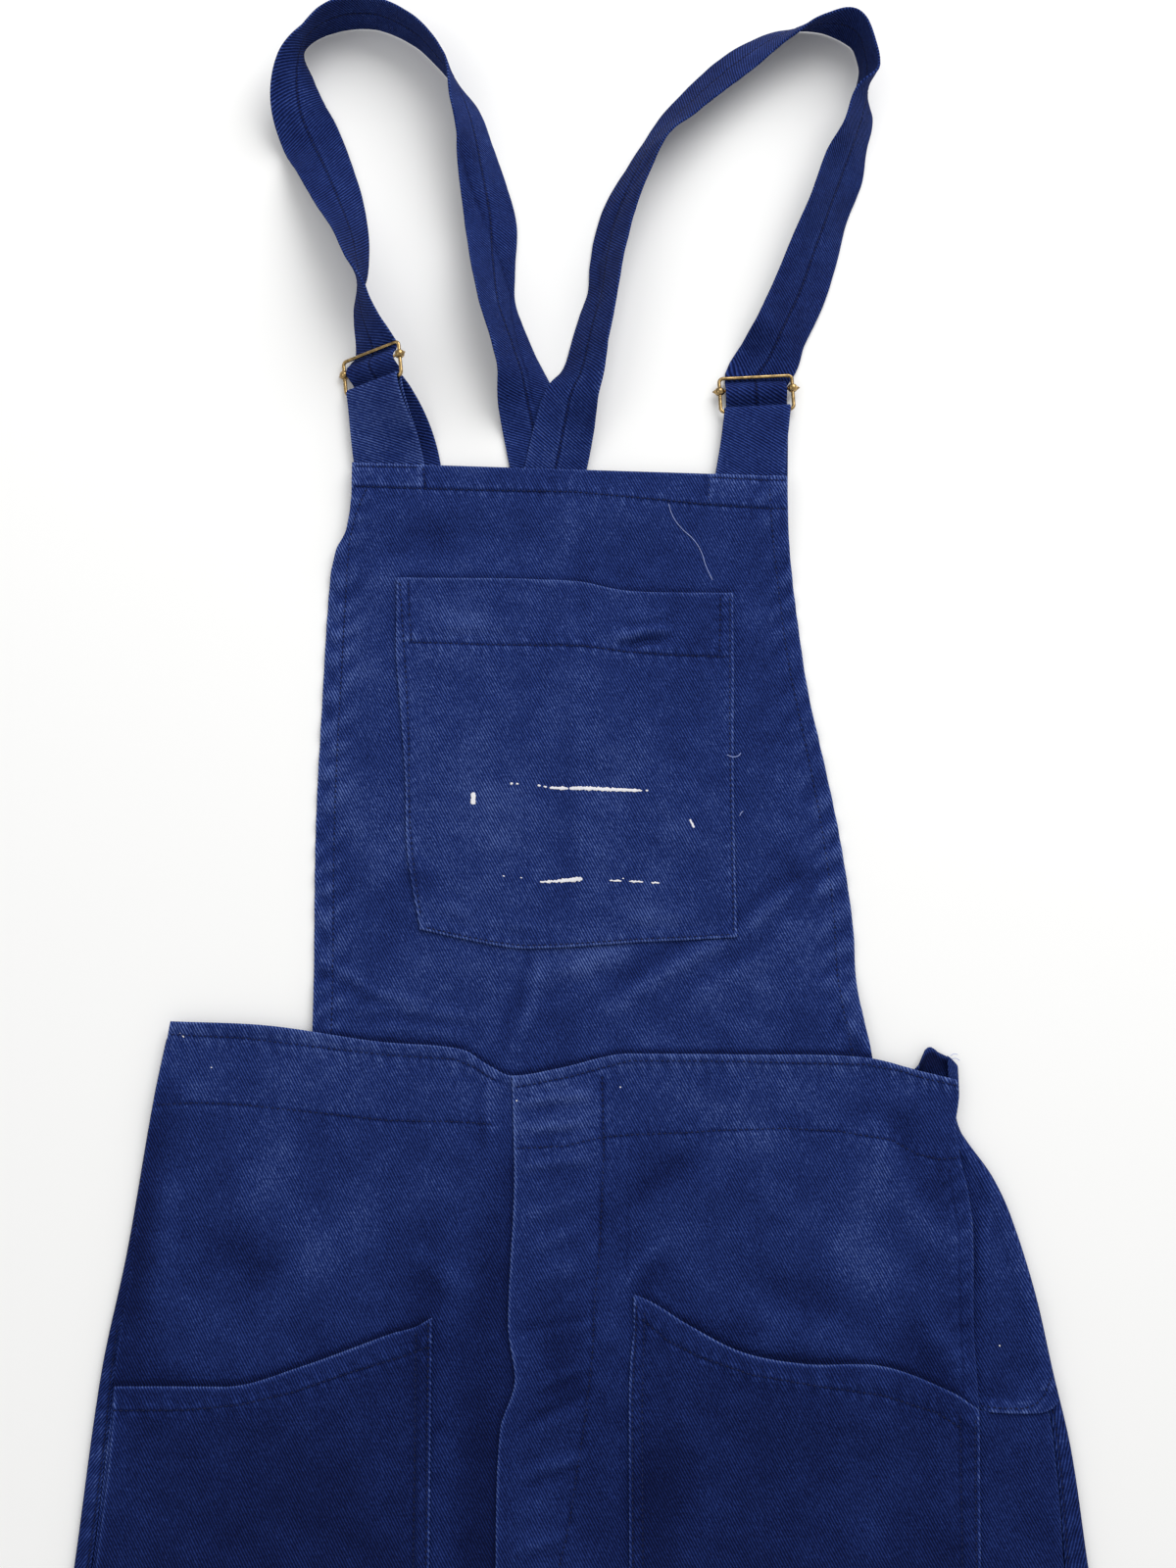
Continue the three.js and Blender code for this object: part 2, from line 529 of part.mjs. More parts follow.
// Heights of what passes through a buckle, over the strap's tail that lies under it all.
const LOOP_BACK = STRAP_WALL / 2 + GAP + LOOP_WALL / 2;
const LOOP_TURN = WIRE_RADIUS + GAP + LOOP_WALL / 2;
const WIRE_LIFT = LOOP_BACK + LOOP_TURN;
const LOOP_FRONT_AT_HEM = LOOP_BACK + LOOP_WALL + GAP;
const STRAP_OVER_BAR = WIRE_LIFT + BAR_RADIUS + GAP + STRAP_WALL / 2;

// A buckle's own directions: away from the bib, back towards it, across and out of its face.
function buckleAxes({ x, y, turn, lean, up }) {
  const along = new THREE.Vector3(-Math.sin(radians(turn)), Math.cos(radians(turn)), 0);
  const heading = along.clone().negate();
  return { ...ribbonFrame(x, y, heading, lean, up), along, heading };
}

// The strap's way through its buckle, down from the top bar: under that bar, over the
// sliding bar, and under the bottom bar and the loop. down is measured from the middle.
const BUCKLE_WEAVE = [
  { down: -9.8, lift: 0.9 }, { down: -8, lift: 1.6 }, { down: -5.6, lift: 4.2 },
  { down: -BAR_OFFSET - 1.2, lift: STRAP_OVER_BAR }, { down: -BAR_OFFSET + 1.2, lift: STRAP_OVER_BAR },
  { down: 1.4, lift: 4 }, { down: 4, lift: 0.9 }, { down: 6.2, lift: 0 }, { down: 11, lift: 0 },
];

function strapRows(route, buckle, tail) {
  const axes = buckleAxes(buckle);
  const weave = BUCKLE_WEAVE.map(({ down, lift }) => {
    const at = axes.middle.clone().addScaledVector(axes.along, -down);
    return { x: at.x, y: at.y, lean: buckle.lean, lift, up: buckle.up };
  });
  const stations = [...route, ...weave, ...tail].map((row, i) => ({ up: 0, lift: 0, lean: 0, ...row, i }));
  const plan = new THREE.CatmullRomCurve3(
    stations.map(({ x, y }) => new THREE.Vector3(x, y, 0)),
    false,
    'centripetal',
  );
  const [lean, lift, up] = ['lean', 'lift', 'up'].map((column) => curve(stations, 'i', column));
  const last = stations.length - 1;
  return even(2 * last).map((t) => {
    const here = plan.getPoint(t);
    const heading = plan.getTangent(t).setZ(0).normalize();
    const frame = ribbonFrame(here.x, here.y, heading, lean(t * last), up(t * last));
    return even(2).map((u) => onRibbon(frame, STRAP_WIDTH * (u - 0.5), lift(t * last)));
  });
}

// A strap loop: from behind the bib's hem up under the buckle's bottom bar, round it and
// back down in front to the hem. It takes up the buckle's lean on the way.
function loopRows(buckle, foot) {
  const axes = buckleAxes(buckle);
  const bar = axes.middle.clone().addScaledVector(axes.along, -FRAME_HALF_HEIGHT);
  const first = new THREE.Vector3(foot.x - bar.x, foot.y - bar.y, 0).normalize();
  const row = (t, lift, past = 0) => {
    const heading = first.clone().lerp(axes.heading, smooth(0, 1, t)).normalize();
    const turned = smooth(0.15, 0.95, t);
    const x = mix(foot.x, bar.x, t) + past * axes.along.x;
    const y = mix(foot.y, bar.y, t) + past * axes.along.y;
    const frame = ribbonFrame(x, y, heading, buckle.lean * turned, buckle.up * turned);
    return even(2).map((u) => onRibbon(frame, LOOP_WIDTH * (u - 0.5), lift));
  };
  const up = [0, 0.2, 0.4, 0.6, 0.8, 1].map((t) => row(t, LOOP_BACK));
  const turn = [1, 2, 3, 4, 5].map((s) => {
    const angle = (Math.PI * s) / 6;
    return row(1, WIRE_LIFT - LOOP_TURN * Math.cos(angle), LOOP_TURN * Math.sin(angle));
  });
  const down = [1, 0.8, 0.6, 0.4, 0.2, 0].map((t) =>
    row(t, mix(LOOP_FRONT_AT_HEM, WIRE_LIFT + LOOP_TURN, smooth(0.1, 1, t))),
  );
  return [...up, ...turn, ...down];
}

const SIDES = {
  right: { route: STRAP_ROUTE_RIGHT, buckle: BUCKLE_RIGHT, tail: TAIL_RIGHT, foot: LOOP_FOOT_RIGHT },
  left: { route: STRAP_ROUTE_LEFT, buckle: BUCKLE_LEFT, tail: TAIL_LEFT, foot: LOOP_FOOT_LEFT },
};
for (const [side, { route, buckle, tail, foot }] of Object.entries(SIDES)) {
  cloth(`shoulder_strap_${side}`, strapRows(route, buckle, tail), STRAP_WALL, strapDenim);
  cloth(`strap_loop_${side}`, loopRows(buckle, foot), LOOP_WALL, denim);
}

// ---------------------------------------------------------------- buckles
// The wire frame: a round section carried once round a rectangle with rounded corners.
function frameGeometry() {
  const sections = [];
  for (const quarter of [0, 1, 2, 3]) {
    const centreX = (FRAME_HALF_WIDTH - FRAME_CORNER) * (quarter % 3 === 0 ? 1 : -1);
    const centreY = (FRAME_HALF_HEIGHT - FRAME_CORNER) * (quarter < 2 ? 1 : -1);
    for (const s of even(4)) {
      const angle = (Math.PI / 2) * (quarter + s);
      const out = new THREE.Vector3(Math.cos(angle), Math.sin(angle), 0);
      sections.push({ out, middle: new THREE.Vector3(centreX, centreY, 0).addScaledVector(out, FRAME_CORNER) });
    }
  }
  const points = [];
  const index = [];
  sections.forEach(({ out, middle }, j) => {
    const next = (j + 1) % sections.length;
    for (let k = 0; k < WIRE_SIDES; k += 1) {
      const round = (2 * Math.PI * k) / WIRE_SIDES;
      const point = middle.clone().addScaledVector(out, WIRE_RADIUS * Math.cos(round));
      points.push(point.x, point.y, WIRE_RADIUS * Math.sin(round));
      const after = (k + 1) % WIRE_SIDES;
      const [a, b] = [j * WIRE_SIDES + k, next * WIRE_SIDES + k];
      const [c, d] = [next * WIRE_SIDES + after, j * WIRE_SIDES + after];
      index.push(a, b, c, a, c, d);
    }
  });
  return closedGeometry(points, index);
}

function toManifold(geometry) {
  const bare = geometry.clone();
  bare.deleteAttribute('normal');
  bare.deleteAttribute('uv');
  const merged = mergeVertices(bare, 1e-4);
  const mesh = new wasm.Mesh({
    numProp: 3,
    vertProperties: new Float32Array(merged.attributes.position.array),
    triVerts: new Uint32Array(merged.index.array),
  });
  return new wasm.Manifold(mesh);
}

// The sliding bar: a rod with a pointed collar at each end, round the frame's side wires.
function barGeometry() {
  const reach = FRAME_HALF_WIDTH - WIRE_RADIUS - 2 * GAP;
  const rod = new THREE.CylinderGeometry(BAR_RADIUS, BAR_RADIUS, 2 * reach, 8).rotateZ(Math.PI / 2);
  const bore = WIRE_RADIUS + GAP;
  const half = COLLAR_LENGTH / 2;
  const shoulder = 0.7; // the collar's rounded rim
  const profile = [
    [bore, -half], [COLLAR_RADIUS - shoulder, -half], [COLLAR_RADIUS, shoulder - half],
    [COLLAR_RADIUS, half - shoulder], [COLLAR_RADIUS - shoulder, half], [bore, half], [bore, -half],
  ].map(([r, y]) => new THREE.Vector2(r, y));
  let bar = toManifold(rod);
  for (const sign of [-1, 1]) {
    const collar = new THREE.LatheGeometry(profile, 12).translate(sign * FRAME_HALF_WIDTH, 0, 0);
    const point = new THREE.ConeGeometry(1.3, COLLAR_POINT + 0.9, 8).rotateZ((-sign * Math.PI) / 2);
    point.translate(sign * (FRAME_HALF_WIDTH + COLLAR_RADIUS + COLLAR_POINT / 2 - 0.4), 0, 0);
    bar = bar.add(toManifold(collar)).add(toManifold(point));
  }
  const mesh = bar.getMesh();
  return closedGeometry([...mesh.vertProperties], [...mesh.triVerts]);
}

for (const [side, { buckle }] of Object.entries(SIDES)) {
  const { middle, across, along, normal } = buckleAxes(buckle);
  const place = new THREE.Group();
  place.setRotationFromMatrix(new THREE.Matrix4().makeBasis(across, along, normal));
  place.position.copy(middle).addScaledVector(normal, WIRE_LIFT);
  const frame = new THREE.Mesh(frameGeometry(), brass);
  frame.name = `buckle_frame_${side}`;
  const bar = new THREE.Mesh(barGeometry(), brass);
  bar.name = `buckle_bar_${side}`;
  bar.position.y = BAR_OFFSET;
  place.add(frame, bar);
  part.add(place);
}

export default part;
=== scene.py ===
# %% [markdown]
# # Bib overalls, laid flat on their back
#
# A pair of washed indigo work overalls. The cut pieces of cloth are already in the packed
# model as plain walls. Here each wall is replaced by the same piece of cloth seen close:
# its turned hems, the puckers that the sewing pulls in, the creases, the stitches, the
# twill and the fading. Lengths are in millimetres until a mesh is made.

import json
import math

import bpy
import numpy as np
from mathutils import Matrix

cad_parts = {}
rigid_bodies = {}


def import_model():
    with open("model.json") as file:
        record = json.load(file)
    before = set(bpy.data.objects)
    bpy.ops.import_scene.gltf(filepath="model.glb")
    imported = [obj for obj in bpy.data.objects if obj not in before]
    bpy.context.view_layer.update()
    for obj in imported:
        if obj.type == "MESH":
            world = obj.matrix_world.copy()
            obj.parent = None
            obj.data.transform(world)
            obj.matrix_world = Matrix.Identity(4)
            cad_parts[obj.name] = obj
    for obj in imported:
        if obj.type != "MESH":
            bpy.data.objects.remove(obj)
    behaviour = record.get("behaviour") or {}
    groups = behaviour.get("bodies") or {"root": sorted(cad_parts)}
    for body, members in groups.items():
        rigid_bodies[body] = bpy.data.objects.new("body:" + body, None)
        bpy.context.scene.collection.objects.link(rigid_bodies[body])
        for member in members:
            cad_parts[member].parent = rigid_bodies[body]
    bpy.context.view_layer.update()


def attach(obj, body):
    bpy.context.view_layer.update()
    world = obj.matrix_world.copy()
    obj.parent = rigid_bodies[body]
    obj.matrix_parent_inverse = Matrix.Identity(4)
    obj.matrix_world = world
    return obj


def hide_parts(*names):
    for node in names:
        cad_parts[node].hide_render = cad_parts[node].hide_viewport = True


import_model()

# %% [markdown]
# ## Camera
#
# The garment lies on the floor and is seen from above the bib, ten degrees short of
# straight down, so the camera leans up the body. The legs run out of the view. It could
# be aimed by a constraint; a place and one angle say the same and can be read at once.

# %% Camera
CAMERA_TILT = math.radians(10)
camera_data = bpy.data.cameras.new("camera")
camera_data.sensor_width = 36
camera_data.lens = 50.9
camera = bpy.data.objects.new("camera", camera_data)
camera.location = (0.007, -0.0477, 1.2803)
camera.rotation_euler = (CAMERA_TILT, 0, 0)
bpy.context.scene.collection.objects.link(camera)
bpy.context.scene.camera = camera
print("camera", tuple(round(c, 4) for c in camera.location))

# %% [markdown]
# ## A few tools
#
# Every outline on the garment is a smooth line through a few measured places, so one
# reader of such lines serves them all. It gives whole arrays at once. A curve object
# could hold the same line, but a function can be asked for its value at any place.


# %% Smooth lines through a few places
def smooth(low, high, t):
    """0 below low, 1 above high, and 3t^2 - 2t^3 between."""
    t = np.clip((np.asarray(t, float) - low) / (high - low), 0, 1)
    return t * t * (3 - 2 * t)


def mix(a, b, t):
    """a at t = 0, b at t = 1, a straight line between."""
    return a + (b - a) * t


def bell(t, width):
    """exp(-(t / width)^2): 1 in the middle and near 0 two widths away."""
    return np.exp(-((t / width) ** 2))


def unit(arrows):
    """Each arrow of an array divided by its own length."""
    return arrows / np.linalg.norm(arrows, axis=-1, keepdims=True)


def run_along(line):
    """How far each point of a line of points is from its first, along the line."""
    return np.concatenate([[0], np.cumsum(np.linalg.norm(np.diff(line, axis=0), axis=1))])


def curve(*rows):
    """A line through (place, value) rows: a cubic between each two, whose slope at a row
    is that of the line through its neighbours, and level where the values turn or stay."""
    t, value = np.array(sorted(rows), float).T
    before = np.maximum(np.arange(len(t)) - 1, 0)
    after = np.minimum(np.arange(len(t)) + 1, len(t) - 1)
    slope = (value[after] - value[before]) / (t[after] - t[before])
    inner = np.arange(1, len(t) - 1)
    turns = (value[inner] - value[inner - 1]) * (value[inner + 1] - value[inner]) <= 0
    slope[inner[turns]] = 0

    def read(where):
        where = np.clip(np.asarray(where, float), t[0], t[-1])
        i = np.clip(np.searchsorted(t, where) - 1, 0, len(t) - 2)
        span = t[i + 1] - t[i]
        s = (where - t[i]) / span
        return (
            (2 * s**3 - 3 * s**2 + 1) * value[i]
            + (s**3 - 2 * s**2 + s) * span * slope[i]
            + (3 * s**2 - 2 * s**3) * value[i + 1]
            + (s**3 - s**2) * span * slope[i + 1]
        )

    return read


# %% [markdown]
# Cloth never lies quite flat. Three things shape it: a slow unevenness everywhere, creases
# put in one by one where the garment has them, and the pull of each row of sewing. A cloth
# simulation finds folds of its own; these are worn into the garment, so they are placed.


# %% Unevenness and creases
def rumple(x, y, size, seed):
    """Twelve waves about size long, in all directions, added: between about -1 and 1."""
    draw = np.random.default_rng(seed)
    turn, phase = draw.uniform(0, 2 * np.pi, (2, 12))
    length = size * draw.uniform(0.6, 1.8, 12)
    total = 0
    for a, p, w in zip(turn, phase, length):
        total = total + np.sin(2 * np.pi * (x * np.cos(a) + y * np.sin(a)) / w + p)
    return total / 4


def creases(x, y, rows):
    """Each row is a crease (x0, y0, x1, y1, bow, height, width): a bell-shaped ridge over
    a bowed line, with a shallower trough along its right side, fading at both ends."""
    total = 0
    for x0, y0, x1, y1, bow, height, width in rows:
        run = math.hypot(x1 - x0, y1 - y0)
        ux, uy = (x1 - x0) / run, (y1 - y0) / run
        s = ((x - x0) * ux + (y - y0) * uy) / run
        off = (y - y0) * ux - (x - x0) * uy - 4 * bow * s * (1 - s)
        fade = smooth(-0.12, 0.3, s) * (1 - smooth(0.7, 1.12, s))
        total = total + height * fade * (bell(off, width) - 0.6 * bell(off + 1.9 * width, 1.3 * width))
    return total


def patches(x, y, rows):
    """Soft round patches (x, y, width, length, amount), added."""
    return sum(amount * bell(np.hypot((x - px) / w, (y - py) / l), 1) for px, py, w, l, amount in rows)


# %% The pull of the sewing
def nearest(path, x, y):
    """How far each place is to the left of a line of points, and how far along it is."""
    path = np.asarray(path, float)
    best, side, along, start = np.full(x.shape, np.inf), np.zeros(x.shape), np.zeros(x.shape), 0
    for (x0, y0), (x1, y1) in zip(path[:-1], path[1:]):
        run = math.hypot(x1 - x0, y1 - y0)
        ux, uy = (x1 - x0) / run, (y1 - y0) / run
        s = np.clip((x - x0) * ux + (y - y0) * uy, 0, run)
        away = np.hypot(x - x0 - s * ux, y - y0 - s * uy)
        closer = away < best
        best = np.where(closer, away, best)
        side = np.where(closer, np.sign((y - y0) * ux - (x - x0) * uy), side)
        along = np.where(closer, start + s, along)
        start += run
    return best * side, along


def seam(path, pull=0.25, sink=0.3, reach=3.0, pitch=7.0, pale=0.1, dark=0.12, stitched=True):
    """A row of sewing: its line, how high its puckers stand, how deep it sinks, how far
    the puckers reach and their spacing, how much the cloth beside it has faded, and how
    much dye the groove has kept."""
    return dict(
        path=path, pull=pull, sink=sink, reach=reach, pitch=pitch, pale=pale, dark=dark, stitched=stitched
    )


def sewn(x, y, seams):
    """The height that rows of sewing give the cloth, and the fading beside them. Under
    the thread is a bell-shaped groove; beside it stand puckers, waves along the row whose
    phase swings by 1.4, so that their spacing is uneven."""
    x, y = np.broadcast_arrays(np.asarray(x, float), np.asarray(y, float))
    height, faded = np.zeros(x.shape), np.zeros(x.shape)
    for n, s in enumerate(seams):
        near = 3 * s["reach"] + 3
        path = np.asarray(s["path"], float)
        (x0, y0), (x1, y1) = path.min(0) - near, path.max(0) + near
        inside = (x > x0) & (x < x1) & (y > y0) & (y < y1)
        off, along = nearest(path, x[inside], y[inside])
        uneven = 1.4 * np.sin(2 * np.pi * along / (4.3 * s["pitch"]) + n)
        wave = np.sin(2 * np.pi * along / s["pitch"] + uneven + 0.25 * off)
        beside = bell(np.abs(off) - 1.1 - 0.5 * s["reach"], 0.75 * s["reach"])
        height[inside] += s["pull"] * wave * beside - s["sink"] * bell(off, 0.9)
        ridge = bell(np.abs(off) - 2.0, 1.1) * (0.6 + 0.4 * wave)
        faded[inside] += s["pale"] * ridge + 0.04 * wave * beside - s["dark"] * bell(off, 0.8)
    return height, faded


# %% [markdown]
# ## From grids of points to cloth
#
# A piece of cloth is a grid of points on its middle surface. Half the wall goes to either
# side of it along its normal, and the wall thins to nothing over the last millimetre, so
# that its rim is round like a folded edge. The two faces share the points of the rim,
# which closes the mesh. A Solidify modifier gives a wall too, but leaves its rim square
# where a turned edge is round. Stations along a grid are close together near the edges,
# where the hems are, and further apart between.


# %% Stations, rims and normals
EDGE_STATIONS = np.array([0, 0.2, 0.55, 1.1, 1.9])


def stations(length, step, near=EDGE_STATIONS, far=EDGE_STATIONS):
    """Places from 0 to length, at the given distances from both ends and evenly spaced,
    about step apart, between."""
    count = max(2, int(round((length - near[-1] - far[-1]) / step)) + 1)
    return np.concatenate(
        [near[:-1], np.linspace(near[-1], length - far[-1], count), length - far[-2::-1]]
    )


def rim_distance(grid):
    """How far each point of a grid is from its rim, along its own row and column."""
    runs = []
    for axis in (0, 1):
        step = np.linalg.norm(np.diff(grid, axis=axis), axis=2)
        start = np.zeros_like(np.take(step, [0], axis))
        run = np.concatenate([start, np.cumsum(step, axis)], axis)
        runs.append(np.minimum(run, np.take(run, [-1], axis) - run))
    return np.minimum(*runs)


def normals(grid):
    """The unit normal at each point of a grid, across x along."""
    across, along = np.gradient(grid, axis=1), np.gradient(grid, axis=0)
    return unit(np.cross(across, along))


# %% From arrays to a mesh
MM = 0.001  # in metres, Blender's unit


def quads(numbers):
    """The four-cornered faces of a grid of point numbers."""
    ring = (numbers[:-1, :-1], numbers[:-1, 1:], numbers[1:, 1:], numbers[1:, :-1])
    return np.stack([corner.ravel() for corner in ring], axis=1)


def make_mesh(name, points, faces, material, uv=None, tone=None):
    """Puts points in millimetres and faces of one size into a mesh object at the origin,
    with its faces turned out, and gives it the cloth's UV map and its tone: the fading,
    with painted light and shade."""
    corners = points[faces]
    volume = np.einsum("ij,ij->", corners[:, 0], np.cross(corners[:, 1], corners[:, 2]))
    if faces.shape[1] == 4:
        volume += np.einsum("ij,ij->", corners[:, 0], np.cross(corners[:, 2], corners[:, 3]))
    if volume < 0:
        faces = faces[:, ::-1]
    mesh = bpy.data.meshes.new(name)
    mesh.vertices.add(len(points))
    mesh.vertices.foreach_set("co", (points * MM).astype(np.float32).ravel())
    mesh.loops.add(faces.size)
    mesh.loops.foreach_set("vertex_index", faces.astype(np.int32).ravel())
    mesh.polygons.add(len(faces))
    mesh.polygons.foreach_set("loop_start", np.arange(len(faces), dtype=np.int32) * faces.shape[1])
    mesh.polygons.foreach_set("use_smooth", np.ones(len(faces), bool))
    mesh.update(calc_edges=True)
    if uv is not None:
        layer = mesh.uv_layers.new(name="cloth")
        layer.data.foreach_set("uv", (uv[faces.ravel()] * MM).astype(np.float32).ravel())
    if tone is not None:
        mesh.attributes.new("tone", "FLOAT", "POINT").data.foreach_set("value", tone.astype(np.float32))
    mesh.materials.append(material)
    piece = bpy.data.objects.new(name, mesh)
    bpy.context.scene.collection.objects.link(piece)
    print(f"{name}: {len(points)} points, {len(faces) * (faces.shape[1] - 2)} triangles")
    return piece


# %% A wall of cloth
RIM_WIDTH = 0.9


def shell(name, middle, upper, lower, uv, tone, material, facing=1):
    """A wall of cloth on a grid of middle points: upper and lower are its half walls. The
    wall follows a quarter circle at the rim, sqrt(1 - (1 - distance / RIM_WIDTH)^2)."""
    rows, columns = middle.shape[:2]
    rounding = np.sqrt(1 - (1 - np.clip(rim_distance(middle) / RIM_WIDTH, 0, 1)) ** 2)[..., None]
    out = normals(middle) * facing * rounding
    top = middle + out * np.broadcast_to(upper, (rows, columns))[..., None]
    bottom = middle - out * np.broadcast_to(lower, (rows, columns))[..., None]
    inner = (slice(1, -1), slice(1, -1))
    above = np.arange(rows * columns).reshape(rows, columns)
    below = above.copy()
    below[inner] = above.size + np.arange(above[inner].size).reshape(above[inner].shape)
    faces = np.concatenate([quads(above), quads(below)[:, ::-1]])

    def both(grid):
        """A grid's rows for all the upper points, then for the lower ones off the rim."""
        grid = np.asarray(grid, float)
        return np.concatenate([grid.reshape(above.size, -1), grid[inner].reshape(above[inner].size, -1)])

    points = np.concatenate([top.reshape(-1, 3), bottom[inner].reshape(-1, 3)])
    tone = both(np.broadcast_to(tone, (rows, columns)))[:, 0]
    return make_mesh(name, points, faces, material, both(uv), tone)

# %% [markdown]
# ## Floor and light
#
# A white table and soft light from two big panels: one beyond the straps and to the
# right, which picks out every groove, and a weaker one to the left. The room is bright,
# so that the shadows on the table stay pale.


# %% One node, with its settings and links
def node(tree, kind, inputs=None, **settings):
    """Adds a shader node. An input is either another node's output or a plain value."""
    made = tree.nodes.new("ShaderNode" + kind)
    for name, value in settings.items():
        setattr(made, name, value)
    for socket, value in (inputs or {}).items():
        if isinstance(value, bpy.types.NodeSocket):
            tree.links.new(value, made.inputs[socket])
        else:
            made.inputs[socket].default_value = value
    return made


def linear(code):
    """An sRGB hex colour as linear red, green, blue and alpha."""
    srgb = [int(code[i : i + 2], 16) / 255 for i in (1, 3, 5)]
    return (*(c / 12.92 if c <= 0.04045 else ((c + 0.055) / 1.055) ** 2.4 for c in srgb), 1.0)


def new_material(name):
    """An empty material with its output node."""
    material = bpy.data.materials.new(name)
    material.use_nodes = True
    material.node_tree.nodes.clear()
    return material, material.node_tree, node(material.node_tree, "OutputMaterial")


# %% Floor and light
table_paint, tree, out = new_material("white_table_paint")
surface = node(tree, "BsdfPrincipled", {"Base Color": linear("#f4f4f3"), "Roughness": 0.9})
tree.links.new(surface.outputs[0], out.inputs[0])
FLOOR_HALF = 4.0
FLOOR_Z = -0.0003
floor_mesh = bpy.data.meshes.new("floor")
floor_mesh.from_pydata(
    [(x * FLOOR_HALF, y * FLOOR_HALF, FLOOR_Z) for x, y in ((-1, -1), (1, -1), (1, 1), (-1, 1))],
    [],
    [(0, 1, 2, 3)],
)
floor_mesh.materials.append(table_paint)
floor = bpy.data.objects.new("floor", floor_mesh)
bpy.context.scene.collection.objects.link(floor)

for name, place, size, power in (
    ("panel_beyond_the_straps", (0.8, 1.75, 1.45), 1.7, 40),
    ("panel_to_the_left", (-1.6, 0.1, 1.9), 1.4, 6),
):
    lamp_data = bpy.data.lights.new(name, "AREA")
    lamp_data.size = size
    lamp_data.energy = power
    lamp = bpy.data.objects.new(name, lamp_data)
    lamp.location = place
    toward = np.array((0.0, 0.1, 0.0)) - place
    lamp.rotation_euler = (
        math.atan2(math.hypot(toward[0], toward[1]), -toward[2]),
        0,
        math.atan2(-toward[0], toward[1]),
    )
    bpy.context.scene.collection.objects.link(lamp)

world = bpy.data.worlds.new("room")
world.use_nodes = True
world.node_tree.nodes["Background"].inputs[0].default_value = (1, 1, 1, 1)
world.node_tree.nodes["Background"].inputs[1].default_value = 0.62
bpy.context.scene.world = world
bpy.context.scene.view_settings.view_transform = "Standard"
print("two light panels and a white room")

# %% [markdown]
# ## Washed indigo twill
#
# The cloth is a cotton twill, yarn-dyed or piece-dyed blue: each filling thread passes
# under two or three warp threads, one step further over each time, which makes fine
# slanting ribs. Washing takes the dye off the tops of the ribs and off whatever stands
# proud, such as edges and seams. So the colour here follows one number on the cloth, its
# tone: the fading, with painted light and shade added, from deep indigo at 0 to pale blue
# at 1; the ribs, the uneven yarn and a slow mottle move that number up and down. A picture
# of cloth would repeat and stop at its edge; waves and noise, sized by the threads, go on
# for as long as the piece does.
#
# A real rib is 0.7 mm wide, finer than shows at arm's length; it is drawn 1.5 mm wide, as
# the eye picks it up from that distance. Cotton has no gloss: roughness 0.9, and a little
# sheen from the loose fibres.


# %% Uneven yarn and dye
def yarns(tree, place):
    """Four noises that the cloth's sizes scale. Thick places in the warp yarn are 1.1 mm
    wide and 7 mm long, and the filling threads that show between are 6 mm long across
    them. The dye is cloudy over 22 mm, and flecks of bare cotton are 2.2 mm apart."""
    slub_place = node(tree, "Mapping", {"Vector": place, "Scale": (1 / 0.0011, 1 / 0.007, 1)})
    slub = node(tree, "TexNoise", {"Vector": slub_place.outputs[0], "Scale": 1.0, "Detail": 2.0})
    pick_place = node(tree, "Mapping", {"Vector": place, "Scale": (1 / 0.006, 1 / 0.0011, 1)})
    pick = node(tree, "TexNoise", {"Vector": pick_place.outputs[0], "Scale": 1.0, "Detail": 2.0})
    mottle = node(
        tree, "TexNoise", {"Vector": place, "Scale": 1 / 0.022, "Detail": 4.0, "Roughness": 0.62},
    )
    flecks = node(
        tree, "TexNoise", {"Vector": place, "Scale": 1 / 0.0022, "Detail": 2.0, "Roughness": 0.7},
    )
    return slub, pick, mottle, flecks


